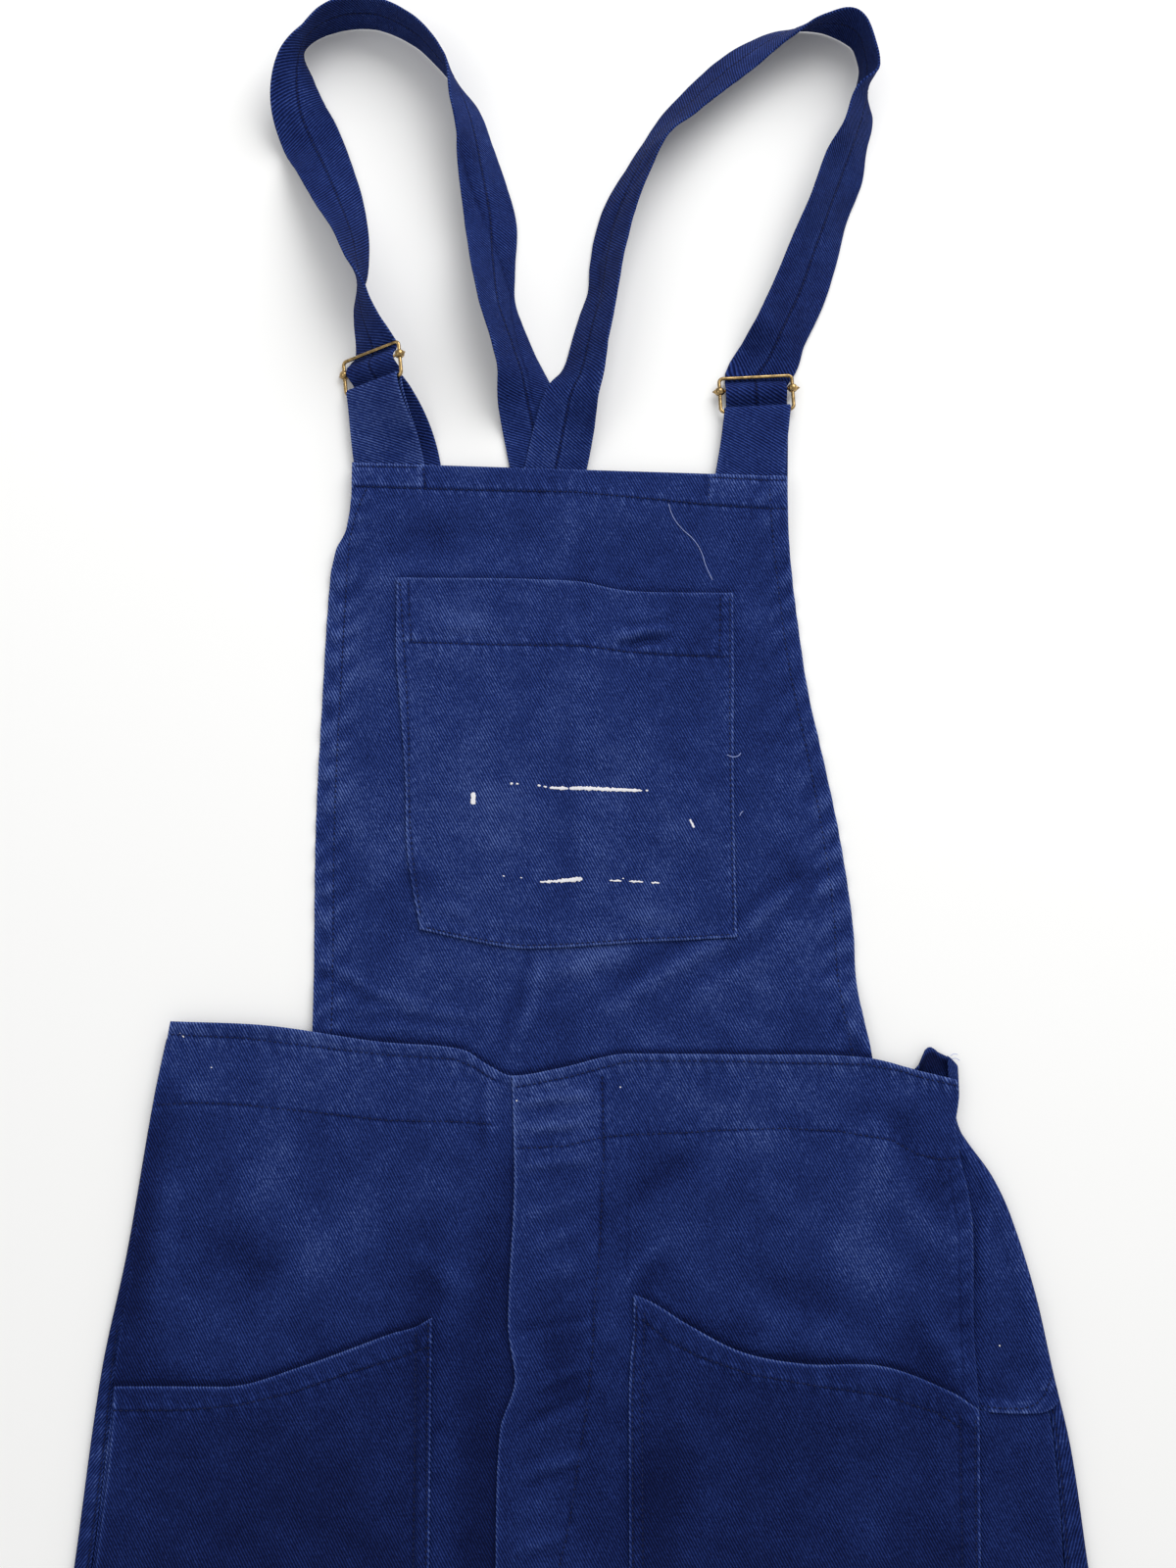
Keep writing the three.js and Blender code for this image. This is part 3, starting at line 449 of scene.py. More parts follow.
# %% Twill
def twill(name, rib_turn, rib_pitch, colours, rib_share=0.26):
    """Twill that reads the cloth's UV map, in metres, and its tone: fading with painted
    light and shade. Its ribs move the tone by rib_share * sin(2 pi x / rib_pitch + waver),
    with x across them."""
    material, tree, out = new_material(name)
    place = node(tree, "UVMap", uv_map="cloth").outputs["UV"]
    # The tone attribute: fading, with painted light and shade added.
    fading = node(tree, "Attribute", attribute_name="tone").outputs["Fac"]
    slub, pick, mottle, flecks = yarns(tree, place)

    turned = node(tree, "Mapping", {"Vector": place, "Rotation": (0, 0, rib_turn)})
    across = node(tree, "SeparateXYZ", {"Vector": turned.outputs[0]}).outputs["X"]
    waver = node(tree, "Math", {0: slub.outputs["Fac"], 1: 2.4}, operation="MULTIPLY")
    phase = node(
        tree, "Math", {0: across, 1: 2 * math.pi / rib_pitch, 2: waver.outputs[0]},
        operation="MULTIPLY_ADD",
    )
    rib = node(tree, "Math", {0: phase.outputs[0]}, operation="SINE").outputs[0]

    value = node(tree, "Math", {0: rib, 1: rib_share, 2: fading}, operation="MULTIPLY_ADD").outputs[0]
    for wave, share in ((slub, 0.32), (pick, 0.28), (mottle, 0.14), (flecks, 0.42)):
        centred = node(tree, "Math", {0: wave.outputs["Fac"], 1: 0.5}, operation="SUBTRACT")
        value = node(
            tree, "Math", {0: centred.outputs[0], 1: share, 2: value}, operation="MULTIPLY_ADD",
        ).outputs[0]
    dye = node(tree, "ValToRGB", {"Fac": value})
    ramp = dye.color_ramp
    for place_on_ramp, code in colours[1:-1]:
        ramp.elements.new(place_on_ramp).color = linear(code)
    ramp.elements[0].position, ramp.elements[0].color = colours[0][0], linear(colours[0][1])
    ramp.elements[-1].position, ramp.elements[-1].color = colours[-1][0], linear(colours[-1][1])

    relief = node(tree, "Math", {0: slub.outputs["Fac"], 1: 0.9, 2: rib}, operation="MULTIPLY_ADD")
    relief = node(
        tree, "Math", {0: pick.outputs["Fac"], 1: 0.9, 2: relief.outputs[0]},
        operation="MULTIPLY_ADD",
    )
    bump = node(tree, "Bump", {"Height": relief.outputs[0], "Strength": 1.0, "Distance": 0.0003})
    surface = node(
        tree,
        "BsdfPrincipled",
        {
            "Base Color": dye.outputs["Color"],
            "Roughness": 0.9,
            "Specular IOR Level": 0.08,
            "Sheen Weight": 0.03,
            "Sheen Roughness": 0.5,
            "Sheen Tint": linear("#8fa2d8"),
            "Normal": bump.outputs[0],
        },
    )
    tree.links.new(surface.outputs[0], out.inputs[0])
    return material


# %% The two twills
INDIGO = [
    (0.0, "#060d31"),
    (0.25, "#0d1c4d"),
    (0.5, "#1a2b65"),
    (0.75, "#2c4182"),
    (1.0, "#5f74ad"),
]
STEEP_RIB = math.radians(-28)  # the ribs lean to the left going up, 62 degrees from flat
FLAT_RIB = math.radians(62)  # on the straps they cross at a low slope
body_twill = twill("washed_indigo_twill", STEEP_RIB, 0.0015, INDIGO)
strap_twill = twill("washed_indigo_twill_on_the_cross", FLAT_RIB, 0.0016, INDIGO, 0.28)

# %% [markdown]
# The thread is polyester-wrapped cotton, dyed to the cloth but not faded with it, so it
# stays darker than the cloth it crosses and has a slight gloss. The specks in it are
# 0.7 mm long, about one turn of its ply: 1400 to the metre.

# %% Thread
def speckled(name, grains, dark, pale, roughness, detail=2.0, relief=None, finish=None):
    """A matt finish between two colours, in specks of which grains fit into a metre.
    relief is how strong and how deep they stand out; finish adds plain shader values."""
    material, tree, out = new_material(name)
    place = node(tree, "TexCoord").outputs["Object"]
    specks = node(tree, "TexNoise", {"Vector": place, "Scale": grains, "Detail": detail})
    colour = node(tree, "ValToRGB", {"Fac": specks.outputs["Fac"]})
    colour.color_ramp.elements[0].color = linear(dark)
    colour.color_ramp.elements[1].color = linear(pale)
    inputs = {"Base Color": colour.outputs[0], "Roughness": roughness, **(finish or {})}
    if relief:
        strength, depth = relief
        specks_height = {"Height": specks.outputs["Fac"], "Strength": strength, "Distance": depth}
        inputs["Normal"] = node(tree, "Bump", specks_height).outputs[0]
    surface = node(tree, "BsdfPrincipled", inputs)
    tree.links.new(surface.outputs[0], out.inputs[0])
    return material


thread = speckled(
    "dark_sewing_thread", 1400.0, "#060b26", "#12204f", 0.55,
    relief=(0.3, 0.0001), finish={"Specular IOR Level": 0.22},
)
print("materials:", body_twill.name, strap_twill.name, thread.name)

# %% [markdown]
# ## Stitches
#
# A lockstitch row is a line of short pieces of thread, each dipping into the cloth at its
# ends. One small bead with pointed ends is copied all along the rows, turned to follow
# them, and all the stitches of a panel are one mesh. Twenty faces are enough for each.
# They could be dashes in the material, but beads stand in their groove and catch light.

# %% One stitch
STITCH_PITCH = 3.1
STITCH_LENGTH = 2.3
STITCH_LIFT = 0.12
READ_AT = (-0.4, 0.4)  # where a stitch reads the cloth's height, in its own lengths
THREAD_RADIUS = 0.37
BEAD_SIDES = 5
bead_turn = np.arange(BEAD_SIDES) * 2 * np.pi / BEAD_SIDES
bead_ring = np.stack([np.zeros(BEAD_SIDES), np.cos(bead_turn), np.sin(bead_turn)], axis=1)
bead_points = np.concatenate(
    [[(-0.5, 0, -0.6)], bead_ring + (-0.26, 0, 0), bead_ring + (0.26, 0, 0), [(0.5, 0, -0.6)]]
)
k = np.arange(BEAD_SIDES)
after = (k + 1) % BEAD_SIDES
first, second, last = 1 + k, 1 + BEAD_SIDES + k, np.full(BEAD_SIDES, 1 + 2 * BEAD_SIDES)
bead_faces = np.concatenate(
    [
        np.stack([np.zeros(BEAD_SIDES, int), 1 + after, first], axis=1),
        np.stack([first, 1 + after, 1 + BEAD_SIDES + after], axis=1),
        np.stack([first, 1 + BEAD_SIDES + after, second], axis=1),
        np.stack([second, 1 + BEAD_SIDES + after, last], axis=1),
    ]
)


# %% Rows of stitches
UP = np.array([0.0, 0.0, 1.0])


def evenly(path, pitch):
    """Points pitch apart along a line of points in a plane or in space."""
    path = np.asarray(path, float)
    run = run_along(path)
    at = np.arange(pitch / 2, run[-1], pitch)
    return np.stack([np.interp(at, run, path[:, c]) for c in range(path.shape[1])], axis=1)


def stitch_points(starts, ends, up):
    """Beads from starts to ends, each sized by the stitch length and the thread."""
    middle, run = (starts + ends) / 2, unit(ends - starts)
    side = unit(np.cross(up, run))
    up = np.cross(run, side)
    size = (STITCH_LENGTH, THREAD_RADIUS, THREAD_RADIUS)
    return middle[:, None, :] + sum(
        bead_points[None, :, c, None] * size[c] * axis[:, None, :]
        for c, axis in enumerate((run, side, up))
    )


def topstitching(name, beads):
    """All the stitches of a panel as one mesh."""
    beads = np.concatenate(beads)
    faces = bead_faces[None] + len(bead_points) * np.arange(len(beads))[:, None, None]
    return make_mesh(name, beads.reshape(-1, 3), faces.reshape(-1, 3), thread)


def on_panel(top, path):
    """The stitches of a row on a panel whose upper face has height top(x, y)."""
    middle = evenly(path, STITCH_PITCH)
    run = unit(np.gradient(middle, axis=0))
    ends = []
    for shift in READ_AT:
        at = middle + shift * STITCH_LENGTH * run
        ends.append(np.column_stack([at, top(at[:, 0], at[:, 1]) + STITCH_LIFT]))
    return stitch_points(*ends, UP[None])


# %% [markdown]
# ## The cut
#
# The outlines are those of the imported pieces, read as smooth lines. More places would
# show every wobble of the hand; few keep an edge as even as shears do. The legs' sides fold
# round from the back panels, and a felled seam joins front and back a finger's width in
# from the fold. The front reaches the waist's top edge in one piece, faced inside.

# %% Thicknesses and levels
WALL = 1.2
GAP = 0.3
LAYER = WALL + GAP
HEM_Y = -1030
CROTCH_Y = -345
BIB_FOOT_Y = -18
OPENING_Y = -177
FOLD_RADIUS = 1.8
FLOOR_LAYER = WALL / 2
FRONT_LAYER = FLOOR_LAYER + 2 * FOLD_RADIUS
LOFT = 0.35  # how far a big panel lies above its plain wall
INSEAM_LAP = 6
SIDE_LAP = 12
FLY_UNDERLAP = 28
FLY_WIDTH = 48
print("the fronts' middle lies", FRONT_LAYER, "mm above the table")

# %% Outlines of the body
# Lines down the garment give x for a y; the tops of panels and pockets give y for an x.
contour = {
    "right": curve(
        (40, -233), (-5, -241), (-90, -253), (-156, -265), (-255, -275.5), (-345, -285),
        (-600, -297), (HEM_Y, -303),
    ),
    "left": curve(
        (30, 218), (0, 219), (-18, 217), (-28, 222), (-48, 236), (-70, 246), (-113, 258.5),
        (-156, 267), (-198, 275.5), (-255, 282), (-345, 292), (-600, 302), (HEM_Y, 308),
    ),
}
inner_fold = {
    "right": curve((CROTCH_Y, -16), (-380, -24), (-450, -32), (-600, -41), (HEM_Y, -58)),
    "left": curve((CROTCH_Y, -16), (-380, -4), (-450, 14), (-600, 35), (HEM_Y, 62)),
}
seam_inset = {
    "right": curve((40, 1), (-48, 1.5), (-135, 6.5), (-200, 10), (HEM_Y, 9)),
    "left": curve((-165, 6.5), (-210, 10), (-330, 16), (HEM_Y, 11)),
}
opening_edge = curve(
    (10, 217), (-5, 218), (-20, 216), (-40, 218.5), (-57, 222), (-80, 224), (-130, 223),
    (-176, 224.5),
)
centre_front = curve(
    (8, -36.5), (-50, -35), (-130, -38), (-160, -34), (-187, -42), (-260, -44), (-300, -41),
    (-325, -29), (CROTCH_Y, -16),
)
seat_seam = curve((0, 4), (-150, 4), (-260, -4), (CROTCH_Y, -16))
front_top = curve(
    (-240, 39), (-181, 36.5), (-116, 27.5), (-66, 23), (-50, 14), (-36, 8), (-8, 12.5), (30, 20.5),
    (97, 20), (165, 18.5), (200, 10), (219, 5.5),
)
back_top = curve(
    (-240, 30), (-120, 14), (0, 12), (188, 11), (195, 13), (199.5, 22.5), (203, 24.5), (207, 22),
    (214, 18.5), (219, 13),
)
hip_top = {
    "right": curve(
        (-262, -163.5), (-195, -163.5), (-152, -152.5), (-103, -135), (-90, -131.5), (-80, -126),
    ),
    "left": curve(
        (32, -113), (45, -119), (62, -129.5), (92, -144.5), (127, -151), (171, -152.5),
        (209, -166.5), (224, -176),
    ),
}
OUTWARD = {"right": -1, "left": 1}
for name, level in (("waist", 0), ("hips", -260), ("hems", HEM_Y)):
    print(f"{name}, at {level}: {contour['left'](level) - contour['right'](level):.0f} mm across")


# %% How high the fronts lie
def front_height(side, x, y):
    """The front panels' middle surface: one layer more over the waist and, on the
    wearer's left, over the other front at the fly."""
    waist = LAYER * smooth(-215, -180, y)
    if side == "left":
        waist = waist * (1 - smooth(225, 236, x))
    if side == "right":
        return FRONT_LAYER + waist
    fly = LAYER * (1 - smooth(FLY_UNDERLAP + 5, FLY_WIDTH, x - centre_front(y))) * smooth(-335, -305, y)
    return FRONT_LAYER + waist + fly


def curl(y):
    """How far the edges between the legs have turned, from 0 at the crotch to 1."""
    return 1 - smooth(CROTCH_Y - 32, CROTCH_Y, y)


def follow(level, top):
    """A row of the body rises to follow the top edge and is level from the hip down."""
    return level + top * smooth(-150, 0, level)


# %% Rows down the body
BODY_LEVELS = -np.unique(
    np.concatenate(
        [
            EDGE_STATIONS,
            np.arange(3.3, 60, 1.5),
            np.arange(60, 175, 2.3),
            [176.9, 177.1],
            np.arange(179, 400, 2.4),
            np.arange(400, 1000, 7),
            np.arange(1002, 1027, 2.2),
            1030 - EDGE_STATIONS,
        ]
    )
)[:, None]
print("rows down the body:", len(BODY_LEVELS))

# %% [markdown]
# ## Fading, wear and painted shade
#
# The colour is lightest on the bib and darkest at the hips, which is painted light falling
# off down the garment; toward the knees it is lighter again. Over that go worn patches,
# and painted shade in creases, beside the fly and above the pocket mouths. It could be
# painted by hand on the mesh; a list of soft patches in millimetres can be read again.

# %% Fading, painted light and painted shade of the body
# Lightest on the bib and darkest at the hips, which is painted light falling off down the garment;
# lighter again toward the knees.
painted_light_falloff = curve(
    (-1030, 0.44), (-800, 0.42), (-620, 0.46), (-450, 0.38), (-330, 0.31), (-255, 0.3),
    (-200, 0.33), (-120, 0.4), (-50, 0.43), (20, 0.47), (90, 0.51), (150, 0.53), (230, 0.5),
    (300, 0.47), (372, 0.47),
)
# Lighter worn patches, and darker ones, among them painted shade in a crease down the bib and beside the
# fly. x, y, width, length and amount.
WORN_AND_SHADED = [
    # the hips and waist, the wearer's right and then left
    (-163, -44, 19, 26, 0.12), (-79, -58, 22, 16, 0.12), (-132, -106, 30, 17, -0.04),
    (-190, -140, 36, 14, 0.02), (-250, -85, 20, 80, -0.26), (-232, -20, 12, 25, -0.12),
    (-81, -120, 12, 60, -0.22), (-8, -150, 18, 45, -0.2), (-62, -160, 16, 25, -0.05),
    (-262, -212, 22, 32, 0.12), (110, -32, 34, 12, 0.05), (130, -75, 60, 30, 0.05),
    (58, -62, 22, 16, -0.16), (98, -23, 22, 14, 0.12), (170, -98, 24, 30, 0.14),
    (204, -56, 13, 17, -0.17), (200, -140, 26, 30, -0.04), (55, -48, 26, 13, -0.03),
    (44, -218, 18, 26, -0.18), (-150, -235, 70, 40, -0.06), (158, -226, 30, 28, 0.1),
    # the knees and the crotch
    (-40, -620, 90, 90, 0.06), (-150, -600, 70, 110, 0.12), (165, -600, 70, 110, 0.12),
    # the bib and its pocket
    (100, 190, 42, 130, -0.06), (-7, 145, 9, 60, -0.09), (-2, 270, 7, 25, -0.04),
    (-132, 272, 22, 75, 0.1), (-60, 274, 22, 20, 0.13), (68, 260, 25, 45, -0.08),
    (12, 76, 16, 16, 0.1), (-44, 62, 14, 16, 0.06), (110, 62, 18, 18, 0.1),
    (130, 114, 11, 13, -0.2), (-92, 120, 12, 12, -0.16), (-48, 158, 24, 22, 0.08),
    (48, 96, 20, 10, 0.05),
]
# The deep shade just above the pocket mouths that stand open.
GAPING = [
    (84, -134, 22, 8, -0.16), (128, -147, 24, 4, -0.14), (-235, -158, 22, 4, -0.08),
    (-120, -137, 26, 4, -0.06),
]
print("worn and shaded patches:", len(WORN_AND_SHADED) + len(GAPING))


def body_tone(x, y):
    """Painted light falloff by the height up the garment, with the worn and shaded patches and a slow
    cloudiness.
    """
    return painted_light_falloff(y) + patches(x, y, WORN_AND_SHADED) + 0.03 * rumple(x, y, 60, 11) + 0.03 * rumple(x, y, 17, 12)


def painted_shade_above(x, y, line, width=2.1):
    """How much painted shade a place just above a line gets, where one piece comes out
    from under the other's edge."""
    return bell(y - line(x) - 1, width)


# %% [markdown]
# ## Back panels
#
# Flat on the table from the seat seam out, round the fold at the side, and over to the
# felled seam. Below the crotch the inner edge turns over to the inseam in the same way. A
# modifier could bend a flat sheet, but the fold keeps one radius while its edge wanders,
# so each row is worked out as a flat stretch, a half circle and a lap.


# %% Felled side seams
FELLED_TOP = {"right": -30, "left": -170}
ROW_INSET = 2.0


def felled_row(side):
    """The row of a felled side seam that shows, on the back's strip beyond the fold. It
    stops where the strip is too narrow to hold it."""
    levels = np.linspace(FELLED_TOP[side], HEM_Y + 3, 40)
    inset = seam_inset[side](levels)
    row = np.column_stack([contour[side](levels) - OUTWARD[side] * (inset - ROW_INSET), levels])
    row = row[inset > 5]
    return seam(row, pull=0.55, sink=0.4, reach=4.5, pitch=11.0, pale=0.1, dark=0.16)


FELLED = {side: felled_row(side) for side in OUTWARD}
FELLED_LIFT = 0.3


def felled_upper(side, x, y):
    """The upper face of the strip that lies on top, with the seam's puckers."""
    return FRONT_LAYER + WALL / 2 + FELLED_LIFT + sewn(x, y, [FELLED[side]])[0]


# %% The shape of a back panel
def back_grid(side):
    """Rows down the body; across, each station is a place on the flat, round a half
    circle x = centre + r sin(a), z = r (1 - cos(a)), or on the lap beyond it."""
    sign, level, half = OUTWARD[side], BODY_LEVELS, WALL / 2
    turned = curl(level)
    inner = np.where(level > CROTCH_Y, seat_seam(level), inner_fold[side](level)) + sign * GAP / 2
    edge = contour[side](follow(level, back_top(contour[side](level))))
    outer = edge - sign * half
    lap_end = np.where((level > -160) & (side == "right"), SIDE_LAP, seam_inset[side](level))
    centre = inner + sign * (half + FOLD_RADIUS)
    lap = np.array([1, 0.94, 0.8, 0.55, 0.3, 0.05])[None]
    bend = np.linspace(0, 1, 10)[1:][None]
    strip_x = np.concatenate(
        [centre + sign * INSEAM_LAP * lap, centre - sign * FOLD_RADIUS * np.sin(np.pi * bend)],
        axis=1,
    )
    strip_z = np.concatenate(
        [
            FRONT_LAYER + 0 * lap * turned,
            FLOOR_LAYER + FOLD_RADIUS * (1 + np.cos(np.pi * bend)) + 0 * turned,
        ],
        axis=1
    )
    run = np.concatenate([INSEAM_LAP * (1 - lap), INSEAM_LAP + np.pi * FOLD_RADIUS * bend], axis=1)
    strip_x = mix(inner + sign * run, strip_x, turned)
    strip_z = mix(FLOOR_LAYER, strip_z, turned)
    flat_start, flat_end = strip_x[:, -1:], outer - sign * FOLD_RADIUS
    flat_share = np.concatenate([np.linspace(0, 0.88, 16), np.linspace(0.88, 1, 14)[1:]])[1:]
    flat_x = mix(flat_start, flat_end, flat_share[None])
    side_x = flat_end + sign * FOLD_RADIUS * np.sin(np.pi * bend)
    side_z = FLOOR_LAYER + FOLD_RADIUS * (1 - np.cos(np.pi * bend)) + 0 * level
    over_end = edge - sign * (np.maximum(lap_end, 4) - GAP / 2)
    over_x = mix(
        side_x[:, -1:], over_end,
        np.array([0.12, 0.25, 0.38, 0.5, 0.62, 0.74, 0.85, 0.92, 0.97, 1])[None],
    )
    x = np.concatenate([strip_x, flat_x, side_x, over_x], axis=1)
    z = np.concatenate([strip_z, FLOOR_LAYER + 0 * flat_x, side_z, FRONT_LAYER + 0 * over_x], axis=1)
    y = follow(level, back_top(x))
    return np.stack([x, y, z], axis=2)


def unrolled(grid):
    """The cloth's own coordinates: run across each row on both axes, level down it."""
    step = np.linalg.norm(np.diff(grid, axis=1), axis=2)
    across = np.concatenate([np.zeros((len(grid), 1)), np.cumsum(step, axis=1)], axis=1)
    return np.stack(
        [grid[:, :1, 0] + np.sign(grid[:, -1:, 0] - grid[:, :1, 0]) * across, grid[:, :, 1]],
        axis=2,
    )


# %% Back panels
back_panels, back_stitching = {}, {}
for side in OUTWARD:
    grid = back_grid(side)
    relief, faded = sewn(grid[..., 0], grid[..., 1], [FELLED[side]])
    raised = smooth(FRONT_LAYER - 0.6, FRONT_LAYER, grid[..., 2])
    uv = unrolled(grid)
    tone = body_tone(grid[..., 0], grid[..., 1]) + raised * (faded + 0.07)
    edge = OUTWARD[side] * (contour[side](grid[..., 1]) - grid[..., 0])
    tone = tone + 0.06 * bell(edge, 1.6) * smooth(1.5, 3, grid[..., 2])
    flat = 1 - smooth(0.7, 2, grid[..., 2])
    # The top corner on the wearer's left curls up, and its hollow gets painted shade.
    cupped = flat * smooth(186, 198, grid[..., 0]) * smooth(4, 16, grid[..., 1]) * (side == "left")
    below_top = back_top(grid[..., 0]) - grid[..., 1]
    tone = tone - 0.5 * cupped * smooth(1.5, 4, below_top)
    grid[..., 2] += raised * (relief + FELLED_LIFT) + 4.5 * cupped * smooth(198, 212, 410 - grid[..., 0])
    hem = WALL / 2 + 0.8 * (1 - smooth(3, 4.5, below_top))
    back_panels[side] = shell(
        f"back_panel_{side}", grid, hem, WALL / 2, uv, tone, body_twill, facing=-OUTWARD[side]
    )
    beads = on_panel(lambda x, y: felled_upper(side, x, y), FELLED[side]["path"])
    back_stitching[side] = topstitching(f"felled_seam_stitching_{side}", [beads])

# %% [markdown]
# ## Front panels
#
# The wearer's left laps over the right at the fly. Two rows of sewing run across under
# the top edge and hold the facing; one runs down and curves in to close the fly. The
# waist puckers between the rows, and short creases cross the placket. Each panel is one
# grid between its inner and outer edge, so its rows of sewing and its creases are added
# to the same surface, and what lies on it later can ask for that surface's height.

# %% Rows of sewing on the fronts
def level_path(across, levels):
    """A row down the leg, at a distance across given as a function of the level."""
    return np.column_stack([across(levels), levels])


leg = np.linspace(-420, HEM_Y + 2, 24)
# Each row's line, then pull, sink, reach, pitch, pale and dark, as seam() names them.
FRONT_SEAMS = {
    "right": [
        seam(
            [(-232, 31.5), (-190, 29.4), (-149, 24.4), (-107, 19.6), (-70, 17.4), (-57, 12.5), (-46, 5)],
            0.48, 0.35, 5.5, 8.5, 0.09, 0.18,
        ),
        seam(
            [
                (-239, -8.4), (-214, -7.2), (-189, -8.4), (-169, -10.6), (-148, -12.8), (-127, -15),
                (-107, -17.2), (-66, -18), (-47, -19.4),
            ],
            0.28, 0.35, 3.5, 7.0, 0.06, 0.2,
        ),
        seam(level_path(lambda y: inner_fold["right"](y) - 11.5, leg), 0.2, 0.3, 3.0, 8.0, 0.08),
        seam([(-75, HEM_Y + 14), (-180, HEM_Y + 14), (-291, HEM_Y + 14)], 0.3, 0.35, 4.0, 9.0, 0.1),
    ],
    "left": [
        seam(
            [
                (-34, 1.5), (-5, 7), (18, 13.3), (31, 16.4), (60, 16.3), (97, 16), (136, 15),
                (165, 14.4), (186, 10.5), (200, 6), (217, 2.4),
            ],
            0.46, 0.35, 5.0, 8.0, 0.09, 0.18,
        ),
        seam(
            [
                (-34, -33), (-6, -31.5), (15, -26.5), (34, -25), (59, -24.3), (83, -22.7),
                (119, -21.6), (149, -23.2), (179, -28.2), (194, -36), (206, -39), (218, -38),
            ],
            0.28, 0.35, 3.5, 7.0, 0.06, 0.2,
        ),
        seam(
            [
                (15, 8), (16, -35), (13.6, -88), (10.8, -117), (9.4, -147), (5.2, -183), (1, -209),
                (-3.6, -239), (-9.5, -262), (-22, -283), (-38, -296),
            ],
            0.2, 0.3, 3.0, 8.0, 0.04, 0.16,
        ),
        seam(
            [(31.5, 16), (31.5, -25), (30, -60), (28.5, -105)], 0.0, 0.3, 2.0, 7.0, 0.04, 0.06,
            stitched=False,
        ),
        seam(level_path(lambda y: inner_fold["left"](y) + 11.5, leg), 0.2, 0.3, 3.0, 8.0, 0.08),
        seam([(80, HEM_Y + 14), (190, HEM_Y + 14), (294, HEM_Y + 14)], 0.3, 0.35, 4.0, 9.0, 0.1),
        seam(
            [(211.5, -45), (216, -80), (215.5, -130), (216, -168)], 0.35, 0.12, 4.5, 11.0, 0.03,
            stitched=False,
        ),
    ],
}

# %% Creases on the fronts
# x and y of both ends, then bow, height and width.
FRONT_CREASES = {
    "right": [
        (-49, 12, -47, -38, 0, 0.5, 3.5), (-56, -45, -60, -330, 0, -0.5, 11),
        (-110, -45, -175, -128, 6, 0.8, 15), (-230, -30, -238, -130, 3, 0.7, 8),
        (-200, -60, -140, -95, 4, 0.6, 14), (-95, -88, -62, -112, 2, 0.6, 6),
        (-70, -330, -230, -430, 10, 1.6, 16), (-60, -380, -190, -520, 12, 1.5, 18),
        (-110, -560, -270, -600, -10, 1.4, 18), (-90, -640, -240, -700, 10, 1.2, 16),
        (-120, -760, -280, -800, -8, 1.0, 18), (-80, -860, -220, -900, 9, 1.0, 16),
        (-180, -500, -185, -1000, 5, 1.1, 20),
    ],
    "left": [
        (-32, -134, 8, -126, 1, -0.6, 2.6), (-24, -166, 8, -152, 1.5, 0.7, 2.6),
        (-31, -187, 8, -168, 2, -0.7, 3), (-35, -214, 6, -202, 1.5, 0.8, 3),
        (-34, -252, -6, -245, 1, 0.7, 3), (-30, -110, 4, -96, 1, 0.4, 4),
        (-33, -44, 12, -39, 1, 0.6, 3), (-33, -8, 10, -3, 1, 0.7, 3),
        (-30, -22, 8, -17, -1, 0.6, 2.6), (-30, -72, 6, -60, 1, 0.5, 4),
        (-28, -90, 6, -78, 1, 0.4, 3), (28, -66, 72, -34, 3, -0.9, 9),
        (22, -114, 54, -82, 2, 0.7, 4.5), (178, -50, 219, -92, -3, 0.55, 10),
        (178, -8, 190, -44, 2, -0.9, 8), (194, -116, 220, -160, -2, 0.9, 7),
        (96, -108, 178, -132, 5, -0.7, 12), (44, -330, 210, -430, -10, 1.6, 16),
        (30, -390, 180, -520, -12, 1.5, 18), (110, -560, 270, -600, 10, 1.4, 18),
        (90, -650, 250, -690, -10, 1.2, 16), (120, -770, 290, -800, 8, 1.0, 18),
        (90, -870, 230, -900, -9, 1.0, 16), (185, -500, 192, -1000, -5, 1.1, 20),
    ],
}


# %% The faces of the fronts
def front_relief(side, x, y):
    """What lies on the front's middle surface: unevenness, creases and sewing."""
    sewing, faded = sewn(x, y, FRONT_SEAMS[side])
    slow = 0.6 * rumple(x, y, 70, 21) + 0.24 * rumple(x, y, 22, 22)
    edge = np.abs(front_top(x) - y)
    slow = slow * (0.35 + 0.65 * smooth(0, 45, edge)) * smooth(0, 30, y - HEM_Y)
    crossing = 2 * creases(x, y, FRONT_CREASES[side])
    lift = 0.9 * bell(front_top(x) - y, 7.0)
    rubbed = mix(0.008, 0.035, smooth(-340, -260, y))
    return slow + crossing + sewing + lift + LOFT, faded + rubbed * np.clip(crossing, -2, 2)


def front_hem(side, x, y):
    """The extra cloth in the turned edges: the top, the fly, the opening and the hem."""
    extra = 0.55 * (1 - smooth(4.5, 6.5, front_top(x) - y)) + 0.6 * (1 - smooth(13, 15, y - HEM_Y))
    if side == "left":
        extra = extra + 0.35 * smooth(-300, -290, y) * (1 - smooth(3, 4.5, x - centre_front(y)))
        extra = extra + 0.35 * smooth(-177, -174, y) * (1 - smooth(4.5, 6.5, opening_edge(y) - x))
    return extra


def front_upper(side, x, y):
    """The upper face of a front panel."""
    return front_height(side, x, y) + front_relief(side, x, y)[0] + front_hem(side, x, y) + WALL / 2


# %% Edges of the fronts
def front_inner(side, y):
    """The front's inner edge: centre front above the crotch, the inseam below it."""
    sign = OUTWARD[side]
    inset = (GAP + WALL / 2 + FOLD_RADIUS + INSEAM_LAP) * np.minimum(1, 2.5 * curl(y))
    below = inner_fold[side](y) + sign * (GAP / 2 + inset)
    above = centre_front(y) + GAP / 2
    if side == "right":
        above = centre_front(y) - GAP / 2 + FLY_UNDERLAP * smooth(-300, -255, y)
    return np.where(y <= CROTCH_Y, below, above)


